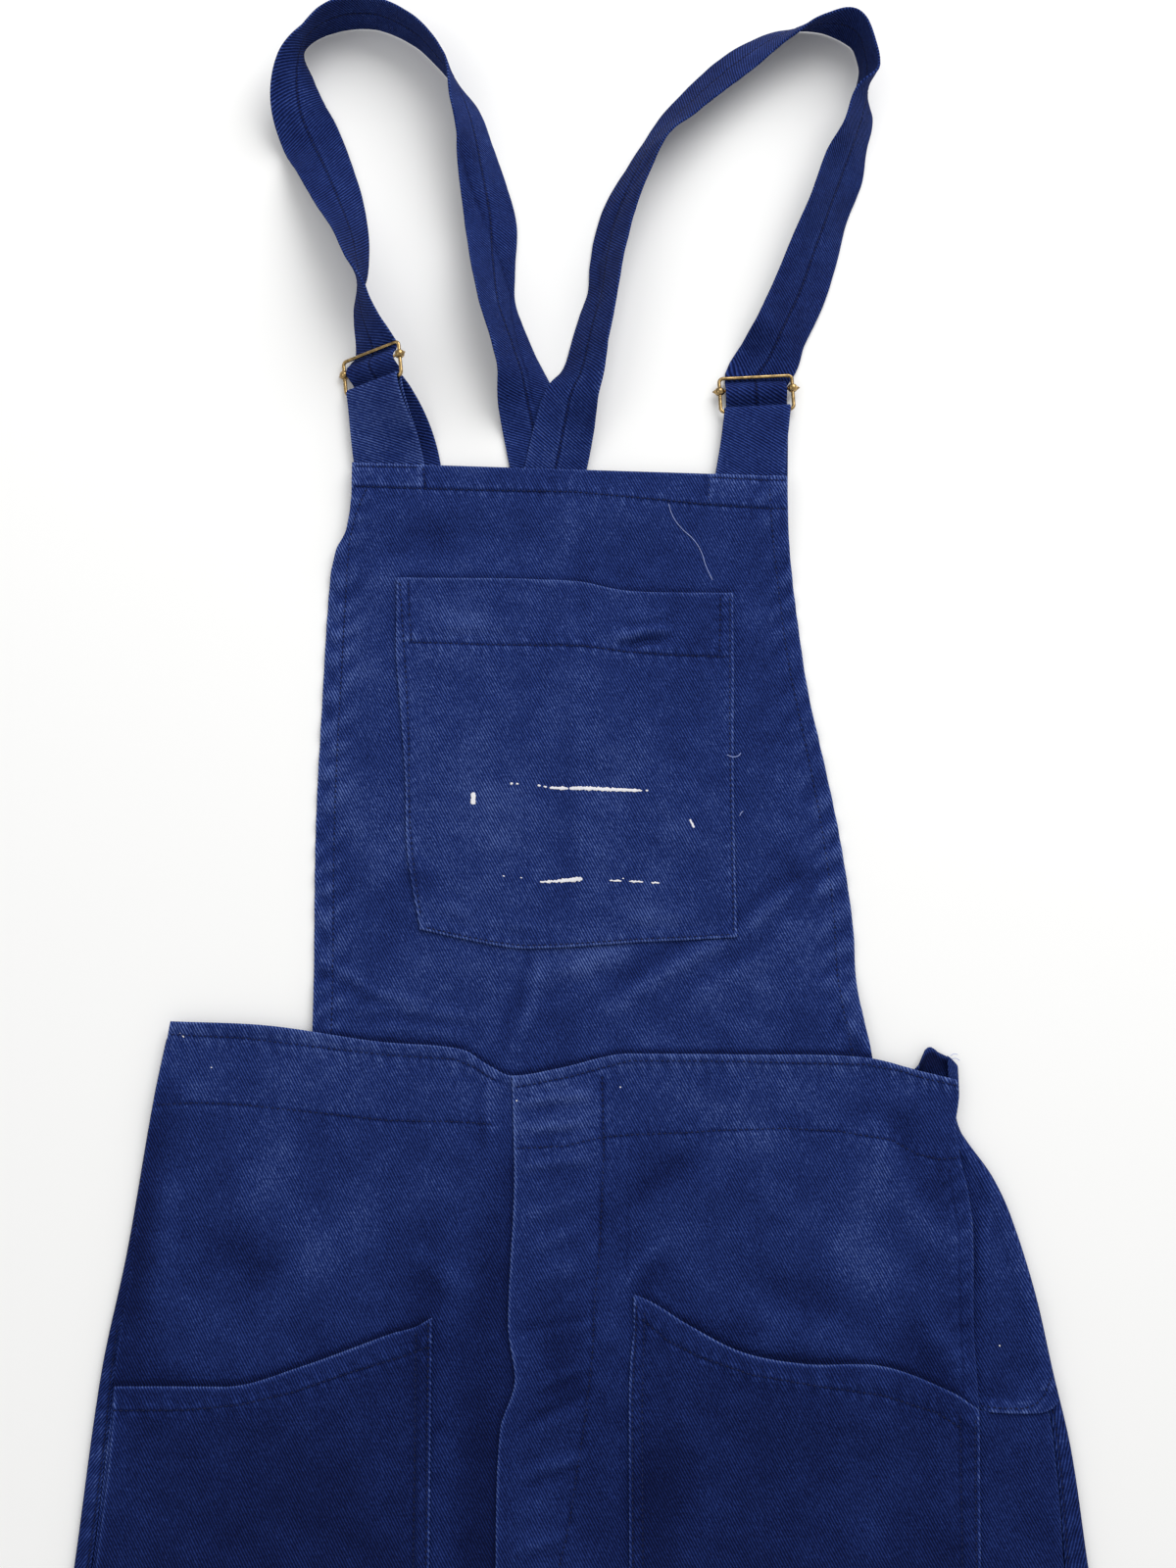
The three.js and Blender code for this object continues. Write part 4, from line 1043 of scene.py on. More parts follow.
def front_outer(side, y):
    """Its outer edge: the side seam, and the opening's edge on the wearer's left."""
    edge = contour[side](y) - OUTWARD[side] * (seam_inset[side](y) + GAP / 2)
    return np.where(y > OPENING_Y, opening_edge(y), edge) if side == "left" else edge


def columns(width, step, near=EDGE_STATIONS, far=EDGE_STATIONS):
    """Stations across a piece as a share of its width and an offset in millimetres."""
    share = np.linspace(0, 1, max(3, int(round((width - near[-1] - far[-1]) / step))))[1:-1]
    weight = np.concatenate([0 * near, share, 1 + 0 * far])
    return weight, np.concatenate([near, mix(near[-1], -far[-1], share), -far[::-1]])


# %% Stations across the fronts
OPENING_HEM = 14
HEM_SHARE = 0.82
HEM_STATIONS = np.concatenate(
    [np.linspace(0, 0.86, 18)[1:], 1 - EDGE_STATIONS[-2::-1] / OPENING_HEM]
)[None]


def across_front(side, y):
    """The stations across a front at each place down it. On the wearer's left the last
    ones hold the opening's hem, and take up the step below it."""
    inner, outer = front_inner(side, y), front_outer(side, y)
    if side == "right":
        weight, offset = columns(250, 2.6)
        return mix(inner, outer, weight) - offset
    weight, offset = columns(254, 2.6, far=np.array([0.0]))
    hem = mix(opening_edge(y) - OPENING_HEM, mix(inner, outer, HEM_SHARE), smooth(180, 420, -y))
    main, beyond = slice(None, len(weight)), slice(len(weight), None)
    if y.shape[1] == 1:
        return np.concatenate([mix(inner, hem, weight) + offset, mix(hem, outer, HEM_STATIONS)], axis=1)
    return np.concatenate(
        [
            mix(inner[:, main], hem[:, main], weight) + offset,
            mix(hem[:, beyond], outer[:, beyond], HEM_STATIONS),
        ],
        axis=1,
    )


# %% Front panels
front_panels = {}
for side in OUTWARD:
    y = follow(BODY_LEVELS, front_top(across_front(side, BODY_LEVELS)))
    x = across_front(side, y)
    relief, faded = front_relief(side, x, y)
    middle = np.stack([x, y, front_height(side, x, y) + relief], axis=2)
    rim = rim_distance(middle)
    tone = body_tone(x, y) + faded + 0.16 * bell(rim, 1.3) + 0.05 * relief
    over_pocket = smooth(80, 84, -x) if side == "right" else smooth(32, 40, x) * (1 - smooth(214, 224, x))
    # Painted shade just above the hip pockets' mouths, which stand open.
    tone = tone - 0.34 * over_pocket * painted_shade_above(x, y, hip_top[side]) + patches(x, y, GAPING)
    if side == "right":
        # Painted shade along the fly's edge, and in the slit at the end of the pocket's mouth.
        beside_fly = centre_front(y) - x
        shaded = 0.12 * bell(beside_fly - 6, 13) + 0.16 * bell(beside_fly, 2.6)
        tone = tone - shaded * (1 - smooth(-60, -10, y)) - 0.25 * bell(x + 259, 4) * bell(y + 159, 4)
    if side == "left":
        past_fly = x - centre_front(y)
        tone = tone + smooth(-300, -280, y) * (
            0.05 * (1 - smooth(46, 50, past_fly)) + 0.16 * bell(past_fly - 0.8, 0.9)
        )
    tone = (
        tone
        + 0.05 * smooth(-26, -20, y - 0.1 * x) * (side == "left")
        + 0.05 * smooth(-16, -8, y) * (side == "right")
    )
    front_panels[side] = shell(
        f"front_panel_{side}", middle, WALL / 2 + front_hem(side, x, y), WALL / 2,
        np.stack([x, y], axis=2), tone, body_twill, facing=-OUTWARD[side],
    )

# %% Stitches of the fronts
front_stitching = {}
for side in OUTWARD:
    rows = [s["path"] for s in FRONT_SEAMS[side] if s["stitched"]]
    beads = [on_panel(lambda x, y: front_upper(side, x, y), row) for row in rows]
    front_stitching[side] = topstitching(f"front_stitching_{side}", beads)

# %% [markdown]
# The wearer's left side opens to the hip. A strip sewn to the back lies under the
# opening's edge; its foot is stitched down with a rounded corner. It is a piece of its
# own and no part of the back panel, because it was cut and sewn on as one.

# %% Side underlap
underlap_foot = curve(
    (206, -176.4), (222, -176.8), (234, -178), (250, -178.6), (259, -178.2), (265, -176),
    (269, -172),
)


def underlap_upper(x, y):
    """Its upper face: one soft ridge where it was pressed over the pocket's seam. It
    rises over the back's turned edge at the side, and over the front at its foot."""
    ridge = creases(
        x, y,
        [
            (238, -50, 231, -112, -3, 1.5, 3.6), (252, -60, 262, -150, 2, 0.8, 5),
            (226, -150, 262, -140, 2, 0.7, 6),
        ],
    )
    outside = contour["left"](y) - x
    upper = FRONT_LAYER + WALL / 2 + ridge + 0.35 * rumple(x, y, 30, 31) + 0.3
    upper = upper + LAYER * (1 - smooth(6.5, 10.5, outside)) - 0.9 * bell(outside, 2.2)
    over_front = smooth(226, 231, x) * smooth(169, 175.5, -y)
    return mix(upper, np.maximum(upper, front_upper("left", x, y) + GAP + WALL), over_front)


weight_x, offset_x = columns(45, 1.6)
weight_y, offset_y = columns(150, 1.8)
level = mix(-22, -172, weight_y)[:, None]
outer = contour["left"](level) - 1.1
x = mix(206, outer, weight_x) + offset_x
y = mix(-22, underlap_foot(x), weight_y[:, None]) - offset_y[:, None]
z = underlap_upper(x, y) - WALL / 2
underlap_seams = [
    seam(
        [(225, -174.2), (238, -175.4), (249, -175.6), (256, -173.4), (261, -168.6), (265, -159)],
        0.35, 0.35, 3.5, 7.0, 0.2, 0.05,
    )
]
sewing, faded = sewn(x, y, underlap_seams)
underlap = np.stack([x, y, z + sewing], axis=2)
# Painted shade on the strip just outside the front's opening edge.
tone = body_tone(x, y) + faded + 0.05 * (z - FRONT_LAYER) - 0.08 * bell(x - opening_edge(y) - 1, 3)
tone = tone + 0.13 * bell(y - underlap_foot(x) - 0.8, 1.2) * smooth(222, 227, x)
side_underlap = shell(
    "side_underlap", underlap, WALL / 2, WALL / 2, underlap[..., :2], tone, body_twill, facing=-1
)
underlap_stitching = topstitching(
    "side_underlap_stitching",
    [on_panel(lambda x, y: underlap_upper(x, y) - 0.2, s["path"]) for s in underlap_seams],
)

# %% [markdown]
# ## The bib and its pocket
#
# The bib is hemmed at the top, over the ends of the two buckle loops, and down both
# sides. It lies over the crossed straps, and its sides sink to the table. The pocket is
# one patch of cloth lying on it, so its surface is the bib's with one layer added. A step
# in the bib would look the same from above, but its mouth could not stand open.

# %% Outlines of the bib
bib_edge = {
    "right": curve(
        (374, -134), (352, -137), (338, -143), (319, -146.5), (247, -149.5), (150, -152),
        (40, -151), (BIB_FOOT_Y, -153),
    ),
    "left": curve(
        (374, 126), (340, 127), (292, 131.5), (247, 137), (200, 146), (154, 154), (100, 160.5),
        (62, 162), (20, 169.5), (BIB_FOOT_Y, 174),
    ),
}
bib_top = curve((-134, 372), (126, 363.5))
pocket_edge = {
    "right": curve((301, -106.5), (209, -100), (148, -98), (80, -88.5)),
    "left": curve((301, 93), (195, 92), (80, 93)),
}
pocket_top = curve((-106.5, 301), (0, 299), (30, 293), (93, 291.5))
pocket_foot = curve((-89, 91.5), (-57, 84.5), (-29, 80.5), (42, 84.5), (93, 87))

# %% Rows of sewing and creases on the bib
down_bib = np.linspace(356, BIB_FOOT_Y + 2, 24)
BIB_SEAMS = [
    seam(
        [(-132, 357.3), (-90, 355.8), (-45, 354.5), (-1, 353.6), (40, 349.5), (79, 345.9), (125, 342.8)],
        0.25, 0.42, 3.5, 7.5, 0.08, 0.14,
    ),
    seam([(-132, 369.2), (-95, 368.8)], 0.12, 0.5, 2.5, 6.0, 0.12, 0.26),
    seam([(-91.5, 369), (-90.3, 357)], 0.1, 0.3, 2.0, 6.0, 0.14),
    seam([(81, 362.3), (125, 360.3)], 0.12, 0.5, 2.5, 6.0, 0.12, 0.26),
    seam([(79.2, 362.5), (79, 347)], 0.1, 0.35, 2.0, 6.0, 0.05),
    seam(level_path(lambda y: bib_edge["right"](y) + 11, down_bib), 0.5, 0.1, 7.0, 17.0, 0.05, 0.03),
    seam(level_path(lambda y: bib_edge["left"](y) - 11, down_bib), 0.5, 0.1, 7.0, 17.0, 0.05, 0.03),
]
# x and y of both ends, then bow, height and width, here and on the pockets.
BIB_CREASES = [
    (-2, 352, -9, 300, 0, 0.2, 4), (4, 350, 2, 300, 0, -0.2, 5), (-9, 300, -16, 225, 1, 0.5, 4),
    (-3, 240, 6, 90, 2, 0.5, 5), (136, 121, 94, 86, -3, 1.2, 4.5), (100, 90, 18, 41, -5, 1.3, 5.5),
    (155, 122, 128, 108, 1, 0.7, 4), (120, 80, 60, 42, -3, 0.6, 6),
    (-149, 73, -118, 57, 2, 0.9, 3.2), (-122, 58, -82, 50, -2, 0.9, 3.4),
    (-132, 46, -50, 40, 2, 0.7, 3), (-110, 36, -60, 30, 1, 0.4, 3),
    (-19, 82, -37, 20, 3, 0.95, 4.5), (-34, 58, 44, 80, 3, 0.6, 6), (-28, 40, 20, 62, 1, 0.4, 4),
    (152, 44, 170, 22, 0, 0.8, 3), (146, 60, 166, 40, 1, 0.6, 4),
    (-132, 306, -46, 338, 4, -0.8, 12), (60, 250, 120, 210, 3, 0.4, 10),
    (-140, 180, -112, 120, 0, 0.4, 9), (-60, 200, -20, 130, 3, 0.3, 12),
    (40, 200, 80, 120, -4, 0.3, 12),
]


# %% The faces of the bib
BIB_AT_WAIST, BIB_OVER_STRAPS, BIB_FREE_SIDE, OVER_LOOPS = 4.2, 4.6, 0.9, 2.3


def within(edges, x, y):
    """How far a place is inside the nearer of two side edges."""
    return np.minimum(x - edges["right"](y), edges["left"](y) - x)


def bib_height(x, y):
    """The bib's middle surface: from its height at the waist to that over the straps,
    lower along its free sides, and higher over the loops in its top hem."""
    inside = within(bib_edge, x, y)
    free = smooth(32, 80, y) * (1 - smooth(285, 325, y)) * (1 - smooth(2, 45, inside))
    over = mix(BIB_AT_WAIST, BIB_OVER_STRAPS, smooth(40, 90, y))
    return mix(over, BIB_FREE_SIDE, free) + OVER_LOOPS * smooth(315, 345, y)


def bib_relief(x, y):
    """What lies on it: unevenness, creases and sewing, fading to nothing in the waist."""
    sewing, faded = sewn(x, y, BIB_SEAMS)
    shown = smooth(-4, 26, y)
    slow = 0.5 * rumple(x, y, 64, 41) + 0.22 * rumple(x, y, 20, 42)
    inside = within(bib_edge, x, y)
    slow = slow * smooth(0, 24, inside) * smooth(0, 30, bib_top(x) - y)
    scallop = 0.7 * np.sin(2 * np.pi * y / 19 + 1.7 * np.sin(y / 23) + 0.3 * inside) * bell(inside - 4, 7)
    scallop = scallop * smooth(40, 90, y) * (1 - smooth(315, 350, y))
    folds = 1.7 * creases(x, y, BIB_CREASES)
    return shown * (slow + folds + sewing + scallop + LOFT), faded + 0.02 * folds


def bib_hem(x, y):
    """The cloth turned in at the top and the sides."""
    inside = within(bib_edge, x, y)
    deep = bib_top(x) - y
    hem_line = mix(14.7, 19.5, smooth(-40, 90, x))
    boxed = smooth(-93, -90, -x) + smooth(78, 81, x)
    return (
        0.6 * (1 - smooth(hem_line - 1, hem_line + 0.5, deep)) * (1 + 0.5 * boxed)
        + 0.45 * (1 - smooth(9.5, 11.5, inside))
    )


def bib_upper(x, y):
    """The bib's upper face."""
    return bib_height(x, y) + bib_relief(x, y)[0] + bib_hem(x, y) + WALL / 2


# %% A grid on a patch
def patch_grid(right, left, top, foot, step, near=EDGE_STATIONS):
    """A grid on a patch whose two sides are given by the place down it and whose top and
    foot by the place across, with stations close together along all four."""
    middle = float(top((right(0) + left(0)) / 2))
    wx, ox = columns(float(left(middle) - right(middle)), step)
    wy, oy = columns(float(top(0) - foot(0)), step, near)
    wy, oy = wy[:, None], oy[:, None]
    guess = mix(right(middle), left(middle), wx)
    level = mix(top(guess), foot(guess), wy)
    x = mix(right(level), left(level), wx) + ox
    return x, mix(top(x), foot(x), wy) - oy


# %% Bib
HEM_ROWS = np.concatenate([EDGE_STATIONS, np.arange(2.8, 22, 0.9)])
x, y = patch_grid(
    bib_edge["right"], bib_edge["left"], bib_top, lambda x: BIB_FOOT_Y + 0 * x, 2.0, HEM_ROWS,
)
relief, faded = bib_relief(x, y)
middle = np.stack([x, y, bib_height(x, y) + relief], axis=2)
tone = body_tone(x, y) + faded + 0.16 * bell(rim_distance(middle), 1.5) + 0.06 * relief
in_hem = 1 - smooth(13, 16, bib_top(x) - y)
# Over the loops' ends inside the top hem the colour is a little lighter, with a painted highlight on each
# end's edge and painted shadow just beside it.
tone = tone + 0.07 * in_hem * (smooth(79, 80.5, x) + smooth(92, 93.5, -x))
tone = tone + in_hem * (0.16 * bell(x - 80.6, 1.3) - 0.14 * bell(x - 77.6, 1.6))
tone = tone + in_hem * (0.16 * bell(x + 93, 1.3) - 0.14 * bell(x + 89.6, 1.6))
# Painted shade just above the fronts' top edge and above the pocket's mouth.
tone = tone - 0.34 * painted_shade_above(x, y, front_top) - 0.2 * painted_shade_above(x, y, pocket_top) * (np.abs(x + 6) < 100)
bib = shell(
    "bib_panel", middle, WALL / 2 + bib_hem(x, y), WALL / 2, middle[..., :2], tone, body_twill,
    facing=-1,
)
bib_stitching = topstitching("bib_stitching", [on_panel(bib_upper, s["path"]) for s in BIB_SEAMS])

# %% Rows of sewing and creases on the bib pocket
pocket_inset = 1.9
side_rows = np.linspace(289, 90, 12)
right_side = level_path(lambda y: pocket_edge["right"](y) + pocket_inset, side_rows + 9)
left_side = level_path(lambda y: pocket_edge["left"](y) - pocket_inset, side_rows)
foot_across = np.linspace(-86.5, 90.5, 14)
foot_row = np.column_stack([foot_across, pocket_foot(foot_across) + pocket_inset])
POCKET_SEAMS = [
    seam(right_side, 0.15, 0.25, 2.2, 7.0, 0.05, 0.06),
    seam(left_side, 0.15, 0.25, 2.2, 7.0, 0.05, 0.06),
    seam(foot_row, 0.2, 0.3, 2.4, 7.5, 0.05, 0.08),
    seam([(-99.4, 298.5), (-98.6, 280), (-97.2, 262)], 0.1, 0.35, 2.5, 8.0, 0.1),
    seam(
        [(-97, 261.6), (-50, 260.4), (4, 259.6), (33, 255.6), (60, 253.8), (90, 252.8)], 0.3, 0.45,
        3.5, 8.0, 0.08, 0.26,
    ),
    seam([(85.4, 289), (84.5, 254)], 0.12, 0.35, 2.5, 8.0, 0.08),
]
POCKET_CREASES = [
    (22, 263, 58, 269, 2, 1.5, 2.8), (30, 258, 50, 262, 1, -1.2, 2.2),
    (28, 276, 60, 284, -2, 0.5, 4), (-2, 298, -6, 262, 0, 0.2, 4), (5, 298, 3, 262, 0, -0.2, 4),
    (-90, 272, -20, 270, 0, 0.35, 3.5), (-60, 96, -20, 92, 1, 0.4, 4), (20, 96, 70, 100, 1, 0.4, 4),
    (-84, 108, -60, 98, 1, 0.4, 4),
]


# %% The faces of the bib pocket
def pocket_relief(x, y):
    """The pocket's own relief over the bib's: creases, sewing and a mouth that stands a
    little open."""
    sewing, faded = sewn(x, y, POCKET_SEAMS)
    mouth = 0.5 * bell(pocket_top(x) - y, 5)
    return 1.8 * creases(x, y, POCKET_CREASES) + sewing + mouth + 0.2 + 0.15 * rumple(x, y, 26, 51), faded


def pocket_hem(x, y):
    """Two more layers down to the hem's row of stitches, and one at the edges."""
    edge = np.minimum(within(pocket_edge, x, y), y - pocket_foot(x))
    hem_line = mix(38.5, 41, smooth(-60, 60, x)) - 3.4 * smooth(5, 35, x)
    return (
        0.5 * (1 - smooth(hem_line - 1, hem_line + 0.4, pocket_top(x) - y))
        + 0.3 * (1 - smooth(5, 7, edge))
    )


def pocket_upper(x, y):
    """The pocket's upper face."""
    under = bib_height(x, y) + bib_relief(x, y)[0] + bib_hem(x, y)
    return under + LAYER + pocket_relief(x, y)[0] + pocket_hem(x, y) + WALL / 2


# %% Bib pocket
POCKET_ROWS = np.concatenate([EDGE_STATIONS, np.arange(3, 46, 1.1)])
x, y = patch_grid(pocket_edge["right"], pocket_edge["left"], pocket_top, pocket_foot, 1.8, POCKET_ROWS)
relief, faded = pocket_relief(x, y)
middle = np.stack([x, y, pocket_upper(x, y) - WALL / 2 - pocket_hem(x, y)], axis=2)
tone = body_tone(x, y) + faded + 0.2 * bell(rim_distance(middle), 1.3) + 0.06 * relief + 0.02
bib_pocket = shell(
    "bib_patch_pocket", middle, WALL / 2 + pocket_hem(x, y), WALL / 2, middle[..., :2], tone,
    body_twill, facing=-1,
)
pocket_stitching = topstitching(
    "bib_pocket_stitching", [on_panel(pocket_upper, s["path"]) for s in POCKET_SEAMS],
)

# %% [markdown]
# ## Hip pockets
#
# Deep patches with slanting mouths, sewn with two rows at their free edges. The mouths
# have stretched with use and stand open, more on the wearer's left. They are made as the
# bib's pocket is, on the front panels' surface, and one loop makes the two.

# %% Outlines and rows of sewing of the hip pockets
HIP_FOOT_Y = -392
HIP = {
    "right": dict(
        right=lambda y: contour["right"](y) + seam_inset["right"](y) + 1,
        left=lambda y: -80.2 + 0 * y,
        top=hip_top["right"],
        mouth=(-250, -95, 1.5),
        seams=[
            seam(
                [
                    (-257, -176.6), (-215, -176.2), (-185, -173), (-157, -166.5), (-127, -156.5),
                    (-95, -147), (-82, -142),
                ],
                0.6, 0.4, 4.5, 9.5, 0.1, 0.14,
            ),
            seam(
                [(-82, -129), (-81.8, HIP_FOOT_Y + 2), (-264, HIP_FOOT_Y + 2)], 0.12, 0.3, 2.0, 8.0,
                0.1,
            ),
            seam(
                [(-89, -134), (-88.8, HIP_FOOT_Y + 9), (-264, HIP_FOOT_Y + 9)], 0.16, 0.3, 2.5, 8.0,
                0.04,
            ),
        ],
    ),
    "left": dict(
        right=curve((-113, 32.5), (-135, 30.3), (-173, 29.6), (-410, 30)),
        left=curve((-176, 224), (-410, 220)),
        top=hip_top["left"],
        mouth=(42, 205, 4.2),
        seams=[
            seam(
                [
                    (37, -127), (51, -138.6), (68, -147), (98, -157), (136, -163.2), (170, -168),
                    (200, -177.5), (214, -186),
                ],
                0.6, 0.4, 4.5, 9.5, 0.1, 0.14,
            ),
            seam(
                [
                    (34.2, -119), (31.6, -173), (31.8, HIP_FOOT_Y + 2), (218, HIP_FOOT_Y + 2),
                    (221.6, -180),
                ],
                0.12, 0.3, 2.0, 8.0, 0.1,
            ),
            seam(
                [(38.6, -123), (37, -173), (37.4, HIP_FOOT_Y + 9), (211, HIP_FOOT_Y + 9), (213.6, -178)],
                0.16, 0.3, 2.5, 8.0, 0.05,
            ),
        ],
    ),
}

# %% Creases on the hip pockets
HIP_CREASES = {
    "right": [
        (-200, -185, -120, -172, 2, 0.4, 7), (-240, -250, -120, -300, 4, 0.8, 14),
        (-250, -200, -256, -300, 0, 0.5, 7),
    ],
    "left": [
        (60, -170, 200, -190, -3, 0.6, 9), (60, -230, 190, -300, 4, 0.8, 14),
        (205, -190, 206, -260, 0, 0.4, 4),
    ],
}


# %% The faces of the hip pockets
def hip_relief(side, x, y):
    """A hip pocket's own relief over the front's."""
    pocket = HIP[side]
    start, end, gape = pocket["mouth"]
    deep = pocket["top"](x) - y
    sewing, faded = sewn(x, y, pocket["seams"])
    across = np.clip((x - start) / (end - start), 0, 1)
    open_by = gape * np.sin(np.pi * across) * (1 - smooth(0, 45, deep))
    folds = 1.5 * creases(x, y, HIP_CREASES[side])
    return folds + sewing + open_by + 0.3 + 0.2 * rumple(x, y, 30, 61), faded


def hip_hem(side, x, y):
    """The mouth's hem and the turned edges."""
    pocket = HIP[side]
    free = x - pocket["right"](y) if side == "left" else pocket["left"](y) - x
    if side == "left":
        free = np.minimum(free, pocket["left"](y) - x)
    free = np.minimum(free, y - HIP_FOOT_Y)
    return 0.7 * (1 - smooth(11.5, 13.5, pocket["top"](x) - y)) + 0.4 * (1 - smooth(6.5, 8.5, free))


def hip_upper(side, x, y):
    """A hip pocket's upper face."""
    under = front_height(side, x, y) + front_relief(side, x, y)[0]
    return under + LAYER + hip_relief(side, x, y)[0] + hip_hem(side, x, y) + WALL / 2


# %% Hip pockets
MOUTH_ROWS = np.concatenate([EDGE_STATIONS, np.arange(2.9, 20, 1.0)])
hip_pockets, hip_stitching = {}, {}
for side, pocket in HIP.items():
    x, y = patch_grid(
        pocket["right"], pocket["left"], pocket["top"], lambda x: HIP_FOOT_Y + 0 * x, 2.1,
        MOUTH_ROWS,
    )
    relief, faded = hip_relief(side, x, y)
    extra = hip_hem(side, x, y)
    middle = np.stack([x, y, hip_upper(side, x, y) - extra - WALL / 2], axis=2)
    tone = body_tone(x, y) + faded + 0.36 * bell(rim_distance(middle), 1.4) + 0.04 * (extra > 0.5) - 0.05
    hip_pockets[side] = shell(
        f"hip_patch_pocket_{side}", middle, WALL / 2 + extra, WALL / 2, middle[..., :2], tone,
        body_twill, facing=-1
    )
    beads = [on_panel(lambda x, y: hip_upper(side, x, y), s["path"]) for s in pocket["seams"]]
    hip_stitching[side] = topstitching(f"hip_pocket_stitching_{side}", beads)

# %% [markdown]
# ## Straps and loops
#
# Each strap is a strip of twill folded on itself and closed by one row of stitches down
# its middle. It starts inside the back waist, crosses the other one under the bib, loops
# round above the shoulders and comes down through its buckle; its tail runs on behind the
# bib. It lies on the table by one edge where it bends in its own plane, so it leans.
#
# The shape is a ribbon carried along its route. A curve object with a flat bevel tips by
# a rule of its own at each bend, so the ribbon is worked out here: at each place on the
# route, `lean` tips the direction across the strap up from the table.

# %% Sizes of the straps, loops and buckles
STRAP_WALL, STRAP_WIDTH, STRAP_REST = 1.6, 37, 0.3
LOOP_WALL, LOOP_WIDTH = 1.4, 40
WIRE_RADIUS, BAR_RADIUS, BAR_OFFSET = 1.1, 0.9, 2.5
FRAME_HALF_WIDTH, FRAME_HALF_HEIGHT, FRAME_CORNER = 22, 10.5, 2.5
LOOP_BACK = STRAP_WALL / 2 + GAP + LOOP_WALL / 2
LOOP_TURN = WIRE_RADIUS + GAP + LOOP_WALL / 2
WIRE_LIFT = LOOP_BACK + LOOP_TURN
LOOP_FRONT_AT_HEM = LOOP_BACK + LOOP_WALL + GAP
OVER_BAR = WIRE_LIFT + BAR_RADIUS + GAP + STRAP_WALL / 2


# %% Ribbons
def through(points, at):
    """A line through points in a plane, at places counted in points: a Catmull-Rom cubic
    whose knots are the square root of the distance between points apart."""
    points = np.asarray(points, float)
    ends = (2 * points[0] - points[1], 2 * points[-1] - points[-2])
    all_points = np.concatenate([[ends[0]], points, [ends[1]]])
    knot = np.linalg.norm(np.diff(all_points, axis=0), axis=1) ** 0.5
    i = np.clip(at.astype(int), 0, len(points) - 2)
    s = (at - i)[:, None]
    a, b, c, d = (all_points[i + n] for n in range(4))
    before, here, ahead = (knot[i + n][:, None] for n in range(3))
    start = ((b - a) / before - (c - a) / (before + here) + (c - b) / here) * here
    end = ((c - b) / here - (d - b) / (here + ahead) + (d - c) / ahead) * here
    return (
        b
        + start * s
        + (-3 * b + 3 * c - 2 * start - end) * s**2
        + (2 * b - 2 * c + start + end) * s**3
    )


def ribbon_frame(x, y, heading, lean, up):
    """The ribbon's middle, the direction across it and its face's normal. The middle is
    high enough for its lower edge to rest on the table."""
    tip = np.radians(lean)
    flat = np.cos(tip)
    across = np.stack([-heading[:, 1] * flat, heading[:, 0] * flat, np.sin(tip)], axis=1)
    forward = np.column_stack([heading, np.zeros(len(heading))])
    z = STRAP_REST + up + (STRAP_WALL * np.abs(flat) + STRAP_WIDTH * np.abs(np.sin(tip))) / 2
    return np.column_stack([x, y, z]), across, np.cross(forward, across)


def buckle_frame(buckle):
    """A buckle's middle and its own directions: across, up the garment and out."""
    turn = math.radians(buckle["turn"])
    along = np.array([-math.sin(turn), math.cos(turn)])
    place = [np.array([buckle[key]], float) for key in ("x", "y", "lean", "up")]
    middle, across, out = ribbon_frame(place[0], place[1], -along[None], place[2], place[3])
    return middle[0], across[0], np.append(along, 0), out[0]


# %% Where the buckles and straps lie
# x, y, the turn from upright and the lean in degrees, and the lift off the table.
BUCKLES = {
    "right": dict(x=-120, y=428, turn=6, lean=36, up=1.2),
    "left": dict(x=108.5, y=416, turn=3, lean=0, up=0),
}
# x, y, lean and lift of the route, from the back waist to the buckle.
ROUTES = {
    "right": [
        (65, -12, 0, 1.3), (58, 12, 0, 1.3), (50, 45, 0, 0), (8, 240, 0, 0), (-20, 365, 0, 0),
        (-25, 390, 0, 0), (-29, 409, 12, 0), (-33, 427, 40, 0), (-39, 444, 49, 0),
        (-47.5, 470, 52, 0), (-51, 500, 42, 0), (-52.5, 523, 32, 0), (-57, 549, 41, 0),
        (-62, 575, 55, 0), (-69, 598, 63, 0), (-79, 620, 86, 0), (-98, 643, 91, 0),
        (-124, 656, 92, 0), (-149.5, 654.5, 91, 0), (-167, 641.5, 82, 0), (-172, 622, 117, 0),
        (-171, 600, 151, 0), (-163.5, 580, 172, 0), (-155, 561, 157, 0), (-145, 536.5, 142, 0),
        (-137, 514, 123, 0), (-132.5, 491, 104, 0), (-131, 476, 79, 0), (-128.7, 463, 70, 0),
        (-125, 451, 61, 0), (-122, 442, 48, 0),
    ],
    "left": [
        (-100, -12, 0, 1.3), (-93, 12, 0, 1.3), (-85, 45, 0, 0), (-43, 235, 0, 0),
        (-35, 270, 0, 1.9), (-19, 340, 0, 1.9), (-12, 372, 0, 2), (-6, 396, -10, 4),
        (-1, 410, -24, 5.8), (4.5, 424, -41, 2.9), (7, 441, -51, 0), (12, 462, -54, 0),
        (16.5, 480, -59, 0), (18.5, 497, -56, 0), (22, 515, -53, 0), (27.5, 534, -54, 0),
        (35, 551, -58, 0), (47, 573, -64, 0), (66, 595, -51, 0), (97, 624.5, -44, 0),
        (127.5, 644, -57, 0), (152, 650, -79, 0), (171, 646, -98, 0), (178, 630, -98, 0),
        (178.5, 614, -105, 0), (176, 598, -68, 0), (170, 576, -62, 0), (162, 554, -46, 0),
        (154, 532, -48, 0), (146, 509, -39, 0), (134.5, 478, -29, 0), (124, 455, -31, 0),
        (117, 440, -10, 0), (111, 431, -3, 0),
    ],
}
TAILS = {
    "right": [(-113.5, 408, 26, 0), (-106, 392, 10, 0), (-101, 376, 0, 0), (-96, 345, 0, 0)],
    "left": [(109, 390, 0, 0), (108.5, 368, 0, 0), (108, 340, 0, 0)],
}
